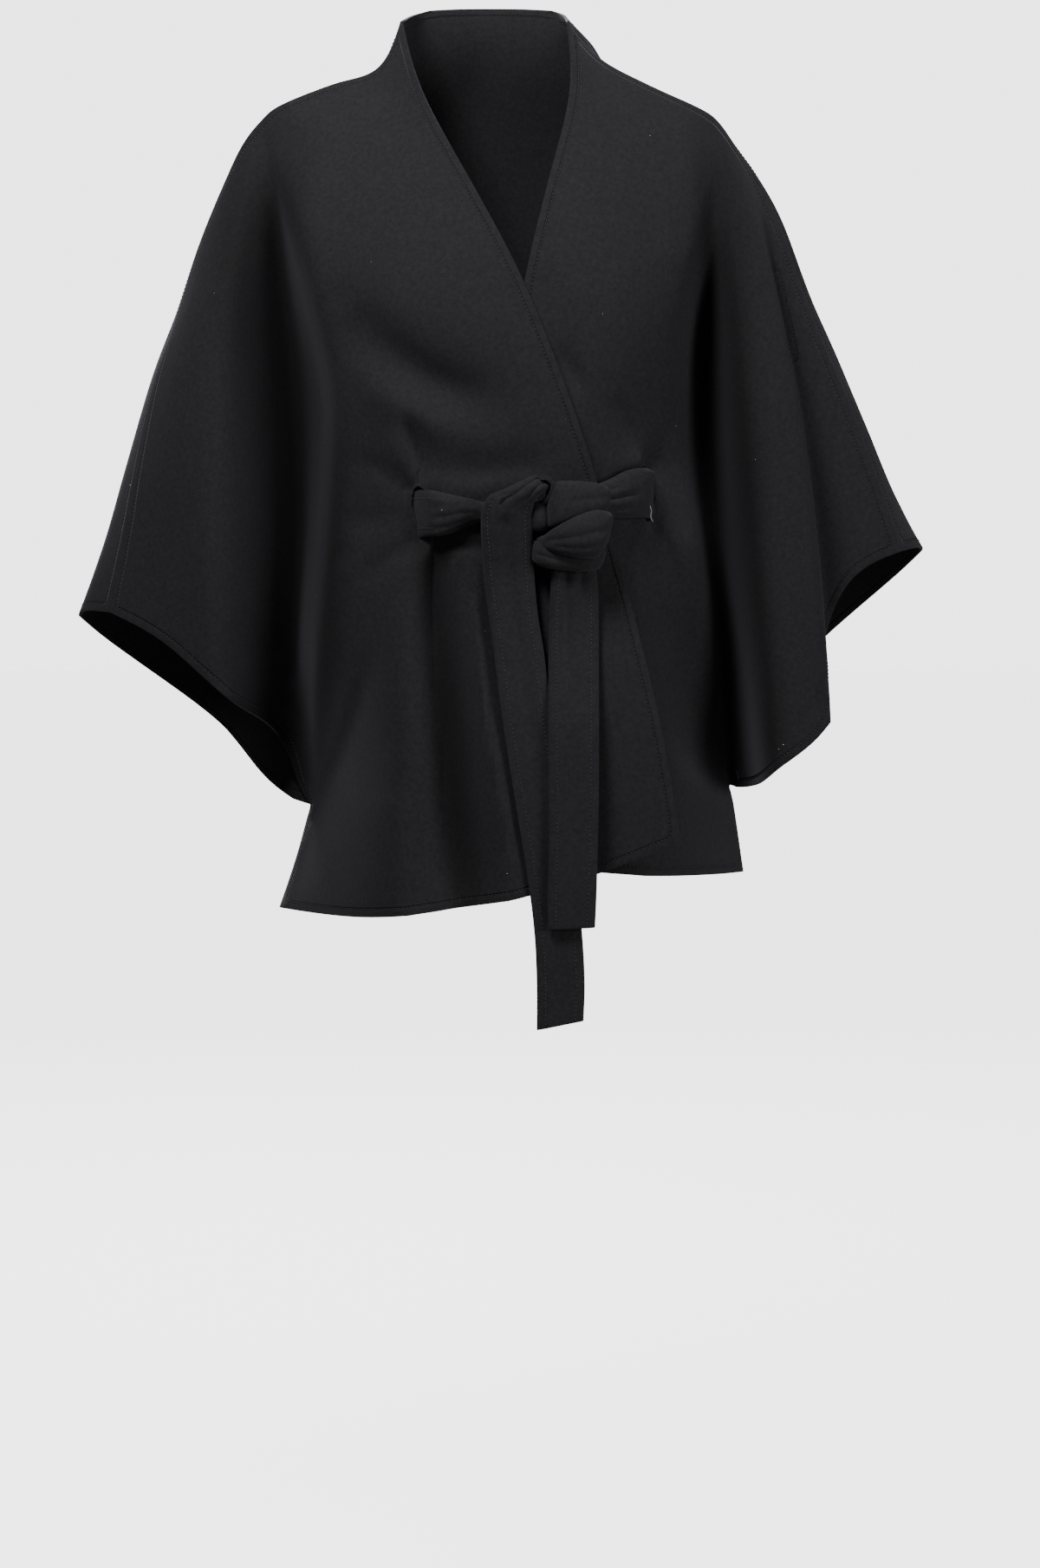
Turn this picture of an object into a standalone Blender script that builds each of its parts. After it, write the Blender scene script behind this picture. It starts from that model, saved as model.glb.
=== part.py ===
"""Kimono jacket in thick felted wool, worn, with its own tie belt.

Metres, +Z up, the front faces -Y and the wearer's left is +X.  The origin is the middle of
the shoulder line at the base of the neck, where the jacket is held up.

A kimono cut has no armhole: each front is one piece from its wrap edge, over the chest and
out along the arm to the overarm seam, and the back is one piece from seam to seam.  The stand
collar grows out of the same pieces.  The fronts wrap right over left, and the belt runs
inside round the back waist, comes out through a slot in each front and is knotted.

Every piece is a loft.  A table has a row for each section of the piece, from the shoulder
seam down to the hem, and a column for each line that runs down the piece.
"""
from collections import namedtuple

import bpy
import numpy as np
from mathutils import Matrix, Vector
from mathutils.bvhtree import BVHTree

MM = 0.001

# Driving sizes
CLOTH = 2.6 * MM          # wall of felted double-faced wool
SEAM_GAP = 0.3 * MM       # between two pieces at a seam
LAP_GAP = 7.5 * MM        # from the over front's middle to the under front's
LAP_REACH = 40 * MM       # how far past the over front's edge the under front stays pressed
LAP_TOP = -150 * MM       # above this height the fronts lie apart by their own shape
FRONT_DEPTH = -25 * MM    # the fronts' chest and skirt lie in front of this depth
PINCH = 0.55              # how far the pieces stand apart at the underarm, in wall thicknesses
LONG_END_LIFT = 1.8 * MM  # between what lies behind a hanging end of the belt and the end
SHORT_END_LIFT = 0.3 * MM
SLOT_HEIGHT = 52 * MM
SLOT_WIDTH = 20 * MM
SLOT_DEPTH = 24 * MM      # of the block that cuts it, more than the wall

# How soon the back takes up its pull towards the side seam, and towards the raised left half
SIDE_PULL_POWER = 1.5
RAISE_POWER = 2

# A fold's strength: at its first end, how fast it gathers from there, and how fast it dies
# away beyond its ends
FOLD_START = 0.35
FOLD_GATHER = 2
FOLD_FADE = 5

REST_PLACES = 9           # across the belt's width, where a hanging end may lie on the jacket
RIBBON_STEPS = 3          # rows of the belt from one table row to the next

# The belt's cross-section, in shares of half its width and half its thickness
RING = ((1, 0), (0.9, 0.75), (0.5, 1), (-0.5, 1), (-0.9, 0.75),
        (-1, 0), (-0.9, -0.75), (-0.5, -1), (0.5, -1), (0.9, -0.75))

# Rows between one section and the next, and columns between one line and the next
ROWS = (2, 3, 4, 5, 5, 5, 5)
HEM_CROWDING = 1.15       # the rows below the underarm crowd up to it by this power
BODY_COLUMNS = (4, 4, 4)
RIGHT_WING_COLUMNS = (3, 4, 3, 3)
LEFT_WING_COLUMNS = (3, 4, 3, 2, 3, 2)
BACK_NECK_COLUMNS = (2, 2)
BACK_WING_COLUMNS = (2, 3, 4)   # side to hollow, arm and tip; the rest lead to the seam
UNDERARM = 6                    # the section where the sleeve hem meets the side seam
UNDERARM_ROW = sum(ROWS[:UNDERARM])

# Right front, over.  edge: wrap edge; neck: where the collar breaks into the shoulder;
# side: the fold at the body's side; valley: between body and arm; seam: the overarm seam.
RightFront = namedtuple("RightFront", "edge neck chest side valley arm outer seam")
RIGHT_FRONT = (
    RightFront((-84, -6, 38), (-105, 0, -3), (-147, 2, -17), (-197, 0, -38),
               (-208, 0, -48), (-219, -2, -61), (-228, -2, -75), (-239, -2, -98)),
    RightFront((-67, -48, -25), (-87, -42, -45), (-131, -38, -67), (-185, -38, -106),
               (-197, -28, -112), (-222, -36, -124), (-244, -28, -140), (-264, -6, -158)),
    RightFront((-20, -92, -114), (-65, -92, -139), (-114, -82, -164), (-163, -60, -192),
               (-191, -12, -186), (-228, -58, -193), (-259, -48, -207), (-284, -10, -222)),
    RightFront((24, -118, -200), (-29, -124, -227), (-85, -112, -255), (-142, -62, -282),
               (-183, 5, -278), (-235, -70, -271), (-272, -55, -273), (-302, -14, -276)),
    RightFront((72, -128, -324), (2, -128, -345), (-70, -105, -368), (-144, -52, -388),
               (-179, 14, -371), (-240, -76, -362), (-280, -58, -358), (-319, -18, -353)),
    RightFront((99, -118, -413), (14, -122, -441), (-71, -108, -471), (-158, -38, -510),
               (-184, 20, -492), (-241, -78, -460), (-284, -56, -437), (-331, -20, -418)),
    RightFront((139, -136, -568), (32, -142, -597), (-69, -128, -628), (-171, 50, -662),
               (-197, 38, -600), (-239, -72, -558), (-293, -52, -511), (-345, -22, -485)),
    RightFront((159, -138, -681), (40, -150, -724), (-76, -138, -745), (-199, 50, -757),
               None, None, None, None),
)

# Left front, under.  Its sleeve hangs in one deep fold: nose is that fold's outer edge and
# crease is behind it.
LeftFront = namedtuple("LeftFront", "edge neck chest side valley arm nose crease outer seam")
LEFT_FRONT = (
    LeftFront((63, -6, 38), (90, 0, 7), (137, 2, -18), (188, 0, -42), (198, 0, -51),
              (208, -1, -65), (214, -2, -75), (219, -2, -82), (225, -2, -92), (229, -2, -100)),
    LeftFront((66, -48, -25), (91, -44, -39), (135, -40, -61), (183, -38, -91), (194, -34, -98),
              (210, -32, -108), (228, -22, -121), (236, -14, -129), (244, -8, -138),
              (255, -4, -151)),
    LeftFront((46, -90, -109), (88, -92, -124), (130, -85, -145), (168, -68, -170),
              (188, -38, -168), (213, -52, -170), (240, -38, -174), (242, -22, -175),
              (253, -17, -180), (267, -6, -188)),
    LeftFront((25, -112, -199), (72, -120, -215), (114, -110, -233), (154, -70, -253),
              (182, -8, -248), (217, -66, -249), (256, -48, -250), (257, -23, -246),
              (270, -19, -243), (288, -8, -242)),
    LeftFront((6, -118, -311), (56, -122, -324), (105, -106, -337), (153, -58, -350),
              (187, 0, -350), (224, -72, -343), (271, -54, -335), (270, -24, -314),
              (284, -19, -297), (309, -10, -288)),
    LeftFront((-6, -110, -417), (52, -114, -432), (111, -104, -449), (177, -45, -441),
              (203, -8, -468), (236, -72, -472), (285, -56, -445), (281, -22, -404),
              (298, -19, -369), (334, -12, -355)),
    LeftFront((-14, -126, -570), (52, -132, -588), (122, -122, -598), (213, 48, -644),
              (229, 22, -644), (247, -66, -624), (295, -52, -582), (292, -18, -512),
              (319, -17, -452), (361, -14, -431)),
    LeftFront((-18, -128, -686), (52, -138, -704), (129, -136, -711), (225, 50, -724),
              None, None, None, None, None, None),
)

# Back, the wearer's right half.  quarter: half way round the collar; tip: the outermost
# line of the sleeve.  Points marked None are the front's own, because the seam is shared.
Back = namedtuple("Back", "centre quarter corner neck blade side hollow arm tip seam")
BACK = (
    Back((-11, 84, 64), (-62, 62, 59), None, None, None, None, None, None, None, None),
    Back((-11, 80, 30), (-62, 58, 24), (-92, 22, 12), (-108, 28, -18), (-145, 30, -36),
         (-190, 30, -64), (-213, 30, -84), (-232, 28, -104), (-247, 12, -119), None),
    Back((-8, 92, -35), (-50, 89, -44), (-82, 84, -60), (-110, 84, -80), (-144, 82, -104),
         (-184, 80, -140), (-214, 77, -158), (-241, 70, -176), (-281, 28, -206), None),
    Back((-2, 112, -140), (-42, 112, -145), (-74, 112, -154), (-104, 112, -167),
         (-138, 112, -187), (-176, 108, -224), (-212, 105, -238), (-246, 98, -252),
         (-305, 36, -266), None),
    Back((2, 120, -268), (-40, 121, -270), (-74, 122, -276), (-104, 123, -284),
         (-136, 123, -298), (-172, 120, -328), (-212, 120, -334), (-250, 114, -340),
         (-332, 42, -350), None),
    Back((8, 132, -420), (-36, 134, -422), (-70, 136, -426), (-102, 136, -432),
         (-136, 134, -446), (-172, 120, -476), (-214, 124, -462), (-256, 128, -448),
         (-354, 42, -422), None),
    Back((14, 148, -600), (-32, 150, -603), (-70, 150, -607), (-108, 144, -613),
         (-146, 118, -630), None, (-206, 72, -646), (-260, 142, -592), (-379, 32, -489), None),
    Back((14, 158, -722), (-34, 160, -726), (-76, 157, -731), (-118, 146, -738),
         (-160, 118, -746), None, None, None, None, None),
)

# The back's left half is held higher than the right: how much further its lines lie there
LEFT_RAISE = {"corner": (0, 0, 7), "neck": (0, 0, 14), "blade": (2, 0, 24),
              "hollow": (30, 0, 14), "arm": (6, 0, 38), "tip": (6, -2, 59)}

# Broad folds of the fronts, from (x, z) to (x, z).  width: half width of the fold;
# depth: how far it stands out, or sinks in where it is negative.
Fold = namedtuple("Fold", "x0 z0 x1 z1 width0 width1 depth0 depth1")
RIGHT_FOLDS = (
    Fold(-105, -236, -12, -306, 26, 30, -7, -7),      # diagonal hollow above the waist
    Fold(-55, -420, -38, -700, 13, 34, -6, -20),      # valley under the slot
    Fold(-98, -470, -104, -720, 22, 34, 5, 12),       # ridge beside it
    Fold(-24, -470, 20, -705, 14, 24, 6, 14),         # ridge beside the belt's end
    Fold(34, -460, 60, -700, 16, 26, -6, -14),        # valley under the belt's ends
)
LEFT_FOLDS = (
    Fold(150, -430, 176, -690, 22, 34, -5, -10),
)

# Slots for the belt: middle of the slot, and how far its top leans towards the wearer's right
Slot = namedtuple("Slot", "x z lean")
RIGHT_SLOT = Slot(-64, -397, 0.14)
LEFT_SLOT = Slot(132, -383, 0.1)

# The belt round the waist.  A point with no y lies on the fronts, off: in front of the
# fronts' middle where it is negative, behind it where it is positive.
Run = namedtuple("Run", "x y z off width thick")
BELT_RUN = (
    Run(58, None, -395, -9, 24, 6),
    Run(36, None, -396, -8, 26, 6),
    Run(12, None, -397, -6, 26, 6),
    Run(-12, None, -398, -6, 28, 6),
    Run(-32, None, -398, -9, 33, 5.5),
    Run(-47, None, -398, -10, 38, 4.6),
    Run(-56, None, -398, -8, 40, 4.4),
    Run(-64, None, -398, 0, 40, 4.4),
    Run(-72, None, -399, 8, 41, 4.4),
    Run(-94, None, -400, 11, 42, 4.4),
    Run(-122, -38, -400, 0, 42, 4.4),
    Run(-131, 8, -400, 0, 42, 4.4),
    Run(-112, 60, -399, 0, 42, 4.4),
    Run(-60, 90, -397, 0, 42, 4.4),
    Run(8, 98, -394, 0, 42, 4.4),
    Run(76, 90, -391, 0, 42, 4.4),
    Run(126, 60, -388, 0, 42, 4.4),
    Run(147, 14, -386, 0, 42, 4.4),
    Run(146, -38, -384, 0, 42, 4.4),
    Run(137, None, -383, 9.5, 40, 4.4),
    Run(132, None, -382, 0, 38, 4.4),
    Run(127, None, -381, -9.5, 36, 4.6),
    Run(112, None, -380, -10.5, 30, 5),
    Run(96, None, -379, -15, 26, 5.5),
    Run(78, None, -380, -10, 24, 5.5),
)

# The belt's two ends, below the knot
End = namedtuple("End", "x y z width thick")
LONG_END = (
    End(23, -132.5, -378, 34, 4.4),
    End(19, -141, -374, 38, 4.4),
    End(13, -148, -379, 40, 4.4),
    End(9, -149, -392, 42, 4.4),
    End(8, -143, -416, 42, 4.4),
    End(8, -134, -450, 42, 4.4),
    End(14, -136, -495, 42, 4.4),
    End(20, -140, -535, 42, 4.4),
    End(29, -146, -580, 42, 4.4),
    End(37, -150, -636, 42, 4.4),
    End(45, -153, -690, 42, 4.4),
    End(51, -154, -747, 41, 4.4),
    End(55, -152, -795, 41, 4.4),
    End(56, -150, -842, 40, 4.4),
)
SHORT_END = (
    End(67, -142.2, -431, 30, 4.4),
    End(67, -139, -455, 38, 4.4),
    End(66, -136, -490, 42, 4.4),
    End(66, -138, -540, 42, 4.4),
    End(66, -146, -600, 42, 4.4),
    End(66, -154, -655, 42, 4.4),
    End(66, -157, -705, 42, 4.4),
    End(65, -158, -754, 42, 4.4),
)

# The knot: three turns of the same strip.  lean: the way that its width points.
Turn = namedtuple("Turn", "x y z width thick lean_x lean_y lean_z")
KNOT = {
    "knot_top": (
        Turn(95, -140, -382, 20, 5, 0.1, 0, 1),
        Turn(84, -149, -385, 26, 6, 0.1, 0, 1),
        Turn(64, -153, -389, 32, 6, 0.1, 0, 1),
        Turn(50, -149, -392, 36, 6, 0.1, 0, 1),
        Turn(43, -138.2, -393, 34, 5, 0.1, 0, 1),
    ),
    "knot_wrap": (
        Turn(95, -146, -406, 20, 5, 0.4, 0, 1),
        Turn(87, -157, -411, 28, 6, 0.4, 0, 1),
        Turn(68, -163, -417, 28, 6, 0.3, 0, 1),
        Turn(51, -159, -426, 22, 6, 0.2, 0, 1),
        Turn(42, -148, -430.8, 18, 5, 0.2, 0, 1),
    ),
    "knot_fold": (
        Turn(34, -139.4, -437.2, 14, 5, 0, 0, 1),
        Turn(52, -147.6, -441.2, 16, 5, 0, 0, 1),
        Turn(76, -149, -443, 15, 5, 0, 0, 1),
        Turn(91, -140, -439, 14, 5, 0, 0, 1),
    ),
}

WOOL = (0.013, 0.013, 0.016, 1.0)
BELT_WOOL = (0.014, 0.014, 0.017, 1.0)


def smooth_curve(knots, steps, crowding=1.0):
    """Points on one smooth curve: steps[i] spans lead from knot i to the next knot.

    The last knot's points crowd towards the knot before it by that power.
    """
    knots = np.array(knots, dtype=float)
    spans = np.maximum(np.linalg.norm(np.diff(knots, axis=0), axis=1), 1e-6) ** 0.5
    times = np.concatenate(([0.0], np.cumsum(spans)))
    order = 1 if len(knots) == 2 else 2
    slopes = np.gradient(knots, times, axis=0, edge_order=order)
    chords = (knots[[1, -1]] - knots[[0, -2]]) / spans[[0, -1], None]
    slopes[[0, -1]] = (slopes[[0, -1]] + chords) / 2
    points = [knots[0]]
    for i, count in enumerate(steps):
        power = crowding if i == len(steps) - 1 else 1
        for k in range(1, count + 1):
            u = (k / count) ** power
            start = (1 + 2 * u) * (1 - u) ** 2 * knots[i]
            end = u * u * (3 - 2 * u) * knots[i + 1]
            lean_in = u * (1 - u) ** 2 * slopes[i] * spans[i]
            lean_out = u * u * (u - 1) * slopes[i + 1] * spans[i]
            points.append(start + end + lean_in + lean_out)
    return np.array(points)


def down_rows(knots):
    """A line down a piece, row by row, from its knots at the sections that it reaches."""
    reaches_hem = len(knots) == len(ROWS) + 1
    return smooth_curve(knots, ROWS[:len(knots) - 1], HEM_CROWDING if reaches_hem else 1)


def line_rows(sections, name):
    """One line of a piece, read down its sections and filled in row by row."""
    knots = [getattr(section, name) for section in sections]
    return down_rows([np.array(knot) * MM for knot in knots if knot is not None])


def across(points, steps, corner=None, sharpness=0.0):
    """One row across the lines; a sharp corner may stay at one of them."""
    smooth = smooth_curve(points, steps)
    if sharpness <= 0:
        return smooth
    before = smooth_curve(points[:corner + 1], steps[:corner])
    after = smooth_curve(points[corner:], steps[corner:])
    split = np.concatenate((before, after[1:]))
    return sharpness * split + (1 - sharpness) * smooth


def front_grid(sections, wing_columns):
    """Rows of points for a front.  Below the underarm a row holds the body alone."""
    lines = [line_rows(sections, name) for name in sections[0]._fields]
    body_lines = len(BODY_COLUMNS) + 1
    grid = []
    for row in range(sum(ROWS) + 1):
        if row <= UNDERARM_ROW:
            knots = [line[row] for line in lines]
            grid.append(list(across(knots, BODY_COLUMNS + wing_columns)))
        else:
            knots = [line[row] for line in lines[:body_lines]]
            nothing = [None] * sum(wing_columns)
            grid.append(list(across(knots, BODY_COLUMNS)) + nothing)
    return grid


def back_half(front, mirror):
    """Half of the back, from the centre line to the overarm seam, on a front's seams."""
    body = sum(BODY_COLUMNS)
    wing = len(front[0]) - 1 - body
    wing_steps = BACK_WING_COLUMNS + (wing - sum(BACK_WING_COLUMNS),)
    body_steps = BACK_NECK_COLUMNS + BODY_COLUMNS
    names = Back._fields
    side_line = names.index("side")
    flip = np.array((-1.0 if mirror else 1.0, 1.0, 1.0))
    lines = {name: half_line(name, front, flip) for name in names}
    centre = line_rows(BACK, "centre")
    side_pull = front[UNDERARM_ROW][body] - lines["side"][UNDERARM_ROW]
    grid = []
    for row in range(sum(ROWS) + 1):
        has_wing = row <= UNDERARM_ROW
        used = names if has_wing else names[:side_line + 1]
        knots = [lines[name][row] for name in used]
        anchors = {0: centre[row]}
        if row == 0:
            anchors[names.index("corner")] = front[0][0]
        elif row >= UNDERARM_ROW:
            anchors[side_line] = front[row][body]
        else:
            reach = (row / UNDERARM_ROW) ** SIDE_PULL_POWER
            anchors[side_line] = knots[side_line] + side_pull * reach
        if has_wing:
            anchors[len(names) - 1] = front[row][-1]
        if mirror and row > 0:
            reach = min(1.0, row / UNDERARM_ROW) ** RAISE_POWER
            for name in set(LEFT_RAISE) & set(used):
                line = names.index(name)
                anchors[line] = knots[line] + np.array(LEFT_RAISE[name]) * MM * reach
        knots = fit_row(knots, anchors)
        sharpness = max(0.0, 1 - row / ROWS[0])
        steps = body_steps + (wing_steps if has_wing else ())
        points = list(across(knots, steps, names.index("corner"), sharpness))
        if row == 0:
            points[sum(BACK_NECK_COLUMNS):] = front[0]
        points += [None] * (0 if has_wing else wing)
        grid.append(points)
    return grid


def half_line(name, front, flip):
    """A line down the back; where the table has no point it is on the front's seam."""
    body = sum(BODY_COLUMNS)
    on_front = {"corner": 0, "neck": BODY_COLUMNS[0], "blade": sum(BODY_COLUMNS[:2]),
                "side": body, "hollow": body + BACK_WING_COLUMNS[0],
                "arm": body + sum(BACK_WING_COLUMNS[:2]),
                "tip": body + sum(BACK_WING_COLUMNS), "seam": len(front[0]) - 1}
    knots = []
    for number, section in enumerate(BACK):
        point = getattr(section, name)
        if point is not None:
            knots.append(np.array(point) * MM * flip)
            continue
        seam_point = front[sum(ROWS[:number])][on_front[name]]
        if seam_point is not None:
            knots.append(seam_point)
    return down_rows(knots)


def fit_row(points, anchors):
    """Shift a row so that it passes through the anchored points, and evenly between them."""
    columns = sorted(anchors)
    shifts = np.array([anchors[column] - points[column] for column in columns])
    every = np.arange(len(points))
    moved = [np.interp(every, columns, shifts[:, axis]) for axis in range(3)]
    return np.array(points) + np.array(moved).T


def stand_out(sheet, folds):
    """Raise or sink a front along its folds."""
    for fold in folds:
        start = np.array((fold.x0, fold.z0)) * MM
        way = np.array((fold.x1, fold.z1)) * MM - start
        for point in sheet.points:
            if point[1] > FRONT_DEPTH:
                continue
            offset = point[[0, 2]] - start
            along = float(offset @ way / (way @ way))
            across_fold = np.linalg.norm(offset - along * way)
            u = min(max(along, 0.0), 1.0)
            fade = np.exp(-((along - u) * FOLD_FADE) ** 2)
            fade *= min(1.0, FOLD_START + u * FOLD_GATHER)
            width = (fold.width0 + (fold.width1 - fold.width0) * u) * MM
            depth = (fold.depth0 + (fold.depth1 - fold.depth0) * u) * MM
            point[1] -= depth * fade * np.exp(-(across_fold / width) ** 2)


class Sheet:
    """The middle surface of one piece of cloth.  The grid has None where there is no cloth."""

    def __init__(self, name, grid, rightward):
        self.name = name
        self.points = []
        self.place = {}
        for row, cells in enumerate(grid):
            for column, point in enumerate(cells):
                if point is not None:
                    self.place[row, column] = len(self.points)
                    self.points.append(np.array(point))
        self.faces = []
        for row, column in self.place:
            corners = ((row, column), (row + 1, column), (row + 1, column + 1), (row, column + 1))
            if all(corner in self.place for corner in corners):
                face = tuple(self.place[corner] for corner in corners)
                self.faces.append(face if rightward else face[::-1])
        self.seam = set()
        self.underarms = set()

    def sew(self, cells, underarms):
        self.seam = {self.place[cell] for cell in cells if cell in self.place}
        self.underarms = {self.place[cell] for cell in underarms}

    def tree(self):
        return BVHTree.FromPolygons([Vector(point) for point in self.points], self.faces)


def front_seams(columns):
    """Shoulder and overarm seam, and the side seam below the underarm."""
    cells = {(0, column) for column in range(columns)}
    cells |= {(row, columns - 1) for row in range(UNDERARM_ROW + 1)}
    cells |= {(row, sum(BODY_COLUMNS)) for row in range(UNDERARM_ROW, sum(ROWS) + 1)}
    return cells


def back_seams(centre, columns):
    """The same seams on both halves of the back; the collar's top edge is free."""
    corner = sum(BACK_NECK_COLUMNS)
    side = corner + sum(BODY_COLUMNS)
    cells = {(0, column) for column in range(columns) if abs(column - centre) >= corner}
    for row in range(UNDERARM_ROW + 1):
        cells |= {(row, 0), (row, columns - 1)}
    for row in range(UNDERARM_ROW, sum(ROWS) + 1):
        cells |= {(row, centre - side), (row, centre + side)}
    return cells


def press_behind(under, over):
    """Keep the under front behind the over front, also a little past its edge."""
    tree = over.tree()
    for point in under.points:
        if point[1] > FRONT_DEPTH or point[2] > LAP_TOP:
            continue
        nearest = tree.find_nearest(Vector(point))[0]
        away = np.hypot(nearest.x - point[0], nearest.z - point[2])
        if away < LAP_REACH and nearest.y < FRONT_DEPTH:
            limit = nearest.y + LAP_GAP * (1 - (away / LAP_REACH) ** 2)
            point[1] = max(point[1], limit)


def key(point):
    return tuple(np.round(point * 1e6).astype(int))


def unit(vector):
    return vector / np.linalg.norm(vector)


def face_normals(sheets):
    """For each piece, the sum of its faces' normals at each place."""
    totals = {sheet.name: {} for sheet in sheets}
    for sheet in sheets:
        sums = totals[sheet.name]
        for face in sheet.faces:
            a, b, c, d = (sheet.points[i] for i in face)
            normal = np.cross(c - a, d - b)
            for i in face:
                place = key(sheet.points[i])
                sums[place] = sums.get(place, 0) + normal
    return totals


def seam_lines(sheet):
    """For each seam point, the way along the seam that has the piece on its left."""
    edges = {(i, j) for face in sheet.faces for i, j in zip(face, face[1:] + face[:1])}
    ways = {i: np.zeros(3) for i in sheet.seam}
    for i, j in sorted(edges):
        if (j, i) not in edges and i in ways and j in ways:
            step = sheet.points[j] - sheet.points[i]
            ways[i] += step
            ways[j] += step
    return ways


def wall_ways(sheet, totals):
    """For each point, the wall's direction and the shift that leaves room at a seam."""
    seam_way = seam_lines(sheet)
    others = [sums for name, sums in totals.items() if name != sheet.name]
    ways = []
    for i, point in enumerate(sheet.points):
        own = totals[sheet.name][key(point)]
        if i not in seam_way:
            ways.append((unit(own), np.zeros(3)))
            continue
        other = next(sums[key(point)] for sums in others if key(point) in sums)
        if i in sheet.underarms:
            apart = unit(unit(own) - unit(other))
            ways.append((unit(own), apart * CLOTH * PINCH))
            continue
        normal = unit(own + other)
        inward = unit(np.cross(normal, seam_way[i]))
        ways.append((normal, inward * SEAM_GAP / 2))
    return ways


def halves(face, points):
    """A four-sided cell cut along its shorter diagonal, the same way on both faces."""
    a, b, c, d = face
    if np.linalg.norm(points[a] - points[c]) <= np.linalg.norm(points[b] - points[d]):
        return (a, b, c), (a, c, d)
    return (a, b, d), (b, c, d)


def wall_object(sheet, totals, collection, material):
    """The sheet as a closed wall: two faces of cloth and a rim along every edge."""
    count = len(sheet.points)
    outer = []
    inner = []
    for point, (normal, shift) in zip(sheet.points, wall_ways(sheet, totals)):
        outer.append(point + shift + normal * CLOTH / 2)
        inner.append(point + shift - normal * CLOTH / 2)
    edges = {(i, j) for face in sheet.faces for i, j in zip(face, face[1:] + face[:1])}
    faces = [half for face in sheet.faces for half in halves(face, sheet.points)]
    faces += [tuple(i + count for i in face[::-1]) for face in faces]
    for i, j in sorted(edges):
        if (j, i) not in edges:
            faces += halves((j, i, i + count, j + count), outer + inner)
    mesh = bpy.data.meshes.new(sheet.name)
    mesh.from_pydata([tuple(point) for point in outer + inner], [], faces)
    return finished_object(sheet.name, mesh, collection, material)


def finished_object(name, mesh, collection, material):
    mesh.shade_smooth()
    mesh.set_sharp_from_angle(angle=0.9)
    mesh.materials.append(material)
    obj = bpy.data.objects.new(name, mesh)
    collection.objects.link(obj)
    return obj


def cut_slot(panel, slot, tree, cutters):
    """A slot for the belt, square to the cloth and leaning with the pull on it."""
    ahead = Vector((slot.x * MM, -1, slot.z * MM))
    place, facing = tree.ray_cast(ahead, Vector((0, 1, 0)))[:2]
    bpy.ops.mesh.primitive_cube_add(size=1)
    cutter = bpy.context.object
    cutter.name = panel.name + "_slot_cutter"
    size = Matrix.Diagonal((SLOT_WIDTH, SLOT_DEPTH, SLOT_HEIGHT, 1))
    lean = Matrix.Rotation(slot.lean, 4, "Y")
    turn = facing.to_track_quat("Y", "Z").to_matrix().to_4x4()
    cutter.data.transform(Matrix.Translation(place) @ turn @ lean @ size)
    cutter.hide_render = True
    cutter.display_type = "WIRE"
    for owner in list(cutter.users_collection):
        owner.objects.unlink(cutter)
    cutters.objects.link(cutter)
    cut = panel.modifiers.new("slot", "BOOLEAN")
    cut.operation = "DIFFERENCE"
    cut.solver = "EXACT"
    cut.object = cutter


def wool(name, colour):
    material = bpy.data.materials.new(name)
    material.use_nodes = True
    shader = material.node_tree.nodes["Principled BSDF"]
    shader.inputs["Base Color"].default_value = colour
    shader.inputs["Roughness"].default_value = 0.95
    shader.inputs["Metallic"].default_value = 0.0
    return material


def new_collection(name):
    collection = bpy.data.collections.new(name)
    bpy.context.scene.collection.children.link(collection)
    return collection


def front_y(x, z, trees):
    """Where the outermost front lies at this place, seen from in front."""
    hits = [tree.ray_cast(Vector((x, -1, z)), Vector((0, 1, 0)))[0] for tree in trees]
    return min((hit.y for hit in hits if hit is not None), default=None)


def mesh_tree(obj):
    points = [vertex.co for vertex in obj.data.vertices]
    return BVHTree.FromPolygons(points, [tuple(face.vertices) for face in obj.data.polygons])


def ribbon(name, path, sizes, width_way, collection, material):
    """A flat tube of cloth along a path.  sizes: its width and thickness at each point."""
    path = [np.array(point, dtype=float) for point in path]
    verts = []
    ways = np.gradient(np.array(path), axis=0)
    for point, way, (width, thick), wide in zip(path, ways, sizes, width_way):
        way = unit(way)
        wide = unit(wide - way * (wide @ way))
        out = np.cross(way, wide)
        for across_share, out_share in RING:
            verts.append(point + wide * across_share * width / 2 + out * out_share * thick / 2)
    n = len(RING)
    faces = []
    for i in range(len(path) - 1):
        for j in range(n):
            k = (j + 1) % n
            faces.append((i * n + j, i * n + k, (i + 1) * n + k, (i + 1) * n + j))
    faces.append(tuple(range(n))[::-1])
    faces.append(tuple(range((len(path) - 1) * n, len(path) * n)))
    mesh = bpy.data.meshes.new(name)
    mesh.from_pydata([tuple(v) for v in verts], [], faces)
    return finished_object(name, mesh, collection, material)


def filled(rows):
    """A table of plain numbers made smooth and filled in."""
    return smooth_curve(rows, [RIBBON_STEPS] * (len(rows) - 1))


def belt_round(trees, collection, material):
    """From the knot's left, in through the right slot, round the waist and out again."""
    knots = []
    for point in BELT_RUN:
        y = point.y
        if y is None:
            reach = point.width / 2 if point.off else 0
            heights = (point.z - reach, point.z, point.z + reach)
            depths = [front_y(point.x * MM, z * MM, trees) / MM for z in heights]
            y = (min(depths) if point.off < 0 else max(depths)) + point.off
        knots.append(tuple(size * MM for size in (point.x, y, point.z, point.width, point.thick)))
    rows = filled(knots)
    up = [np.array((0, 0, 1.0))] * len(rows)
    return ribbon("belt", rows[:, :3], rows[:, 3:], up, collection, material)


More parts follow.
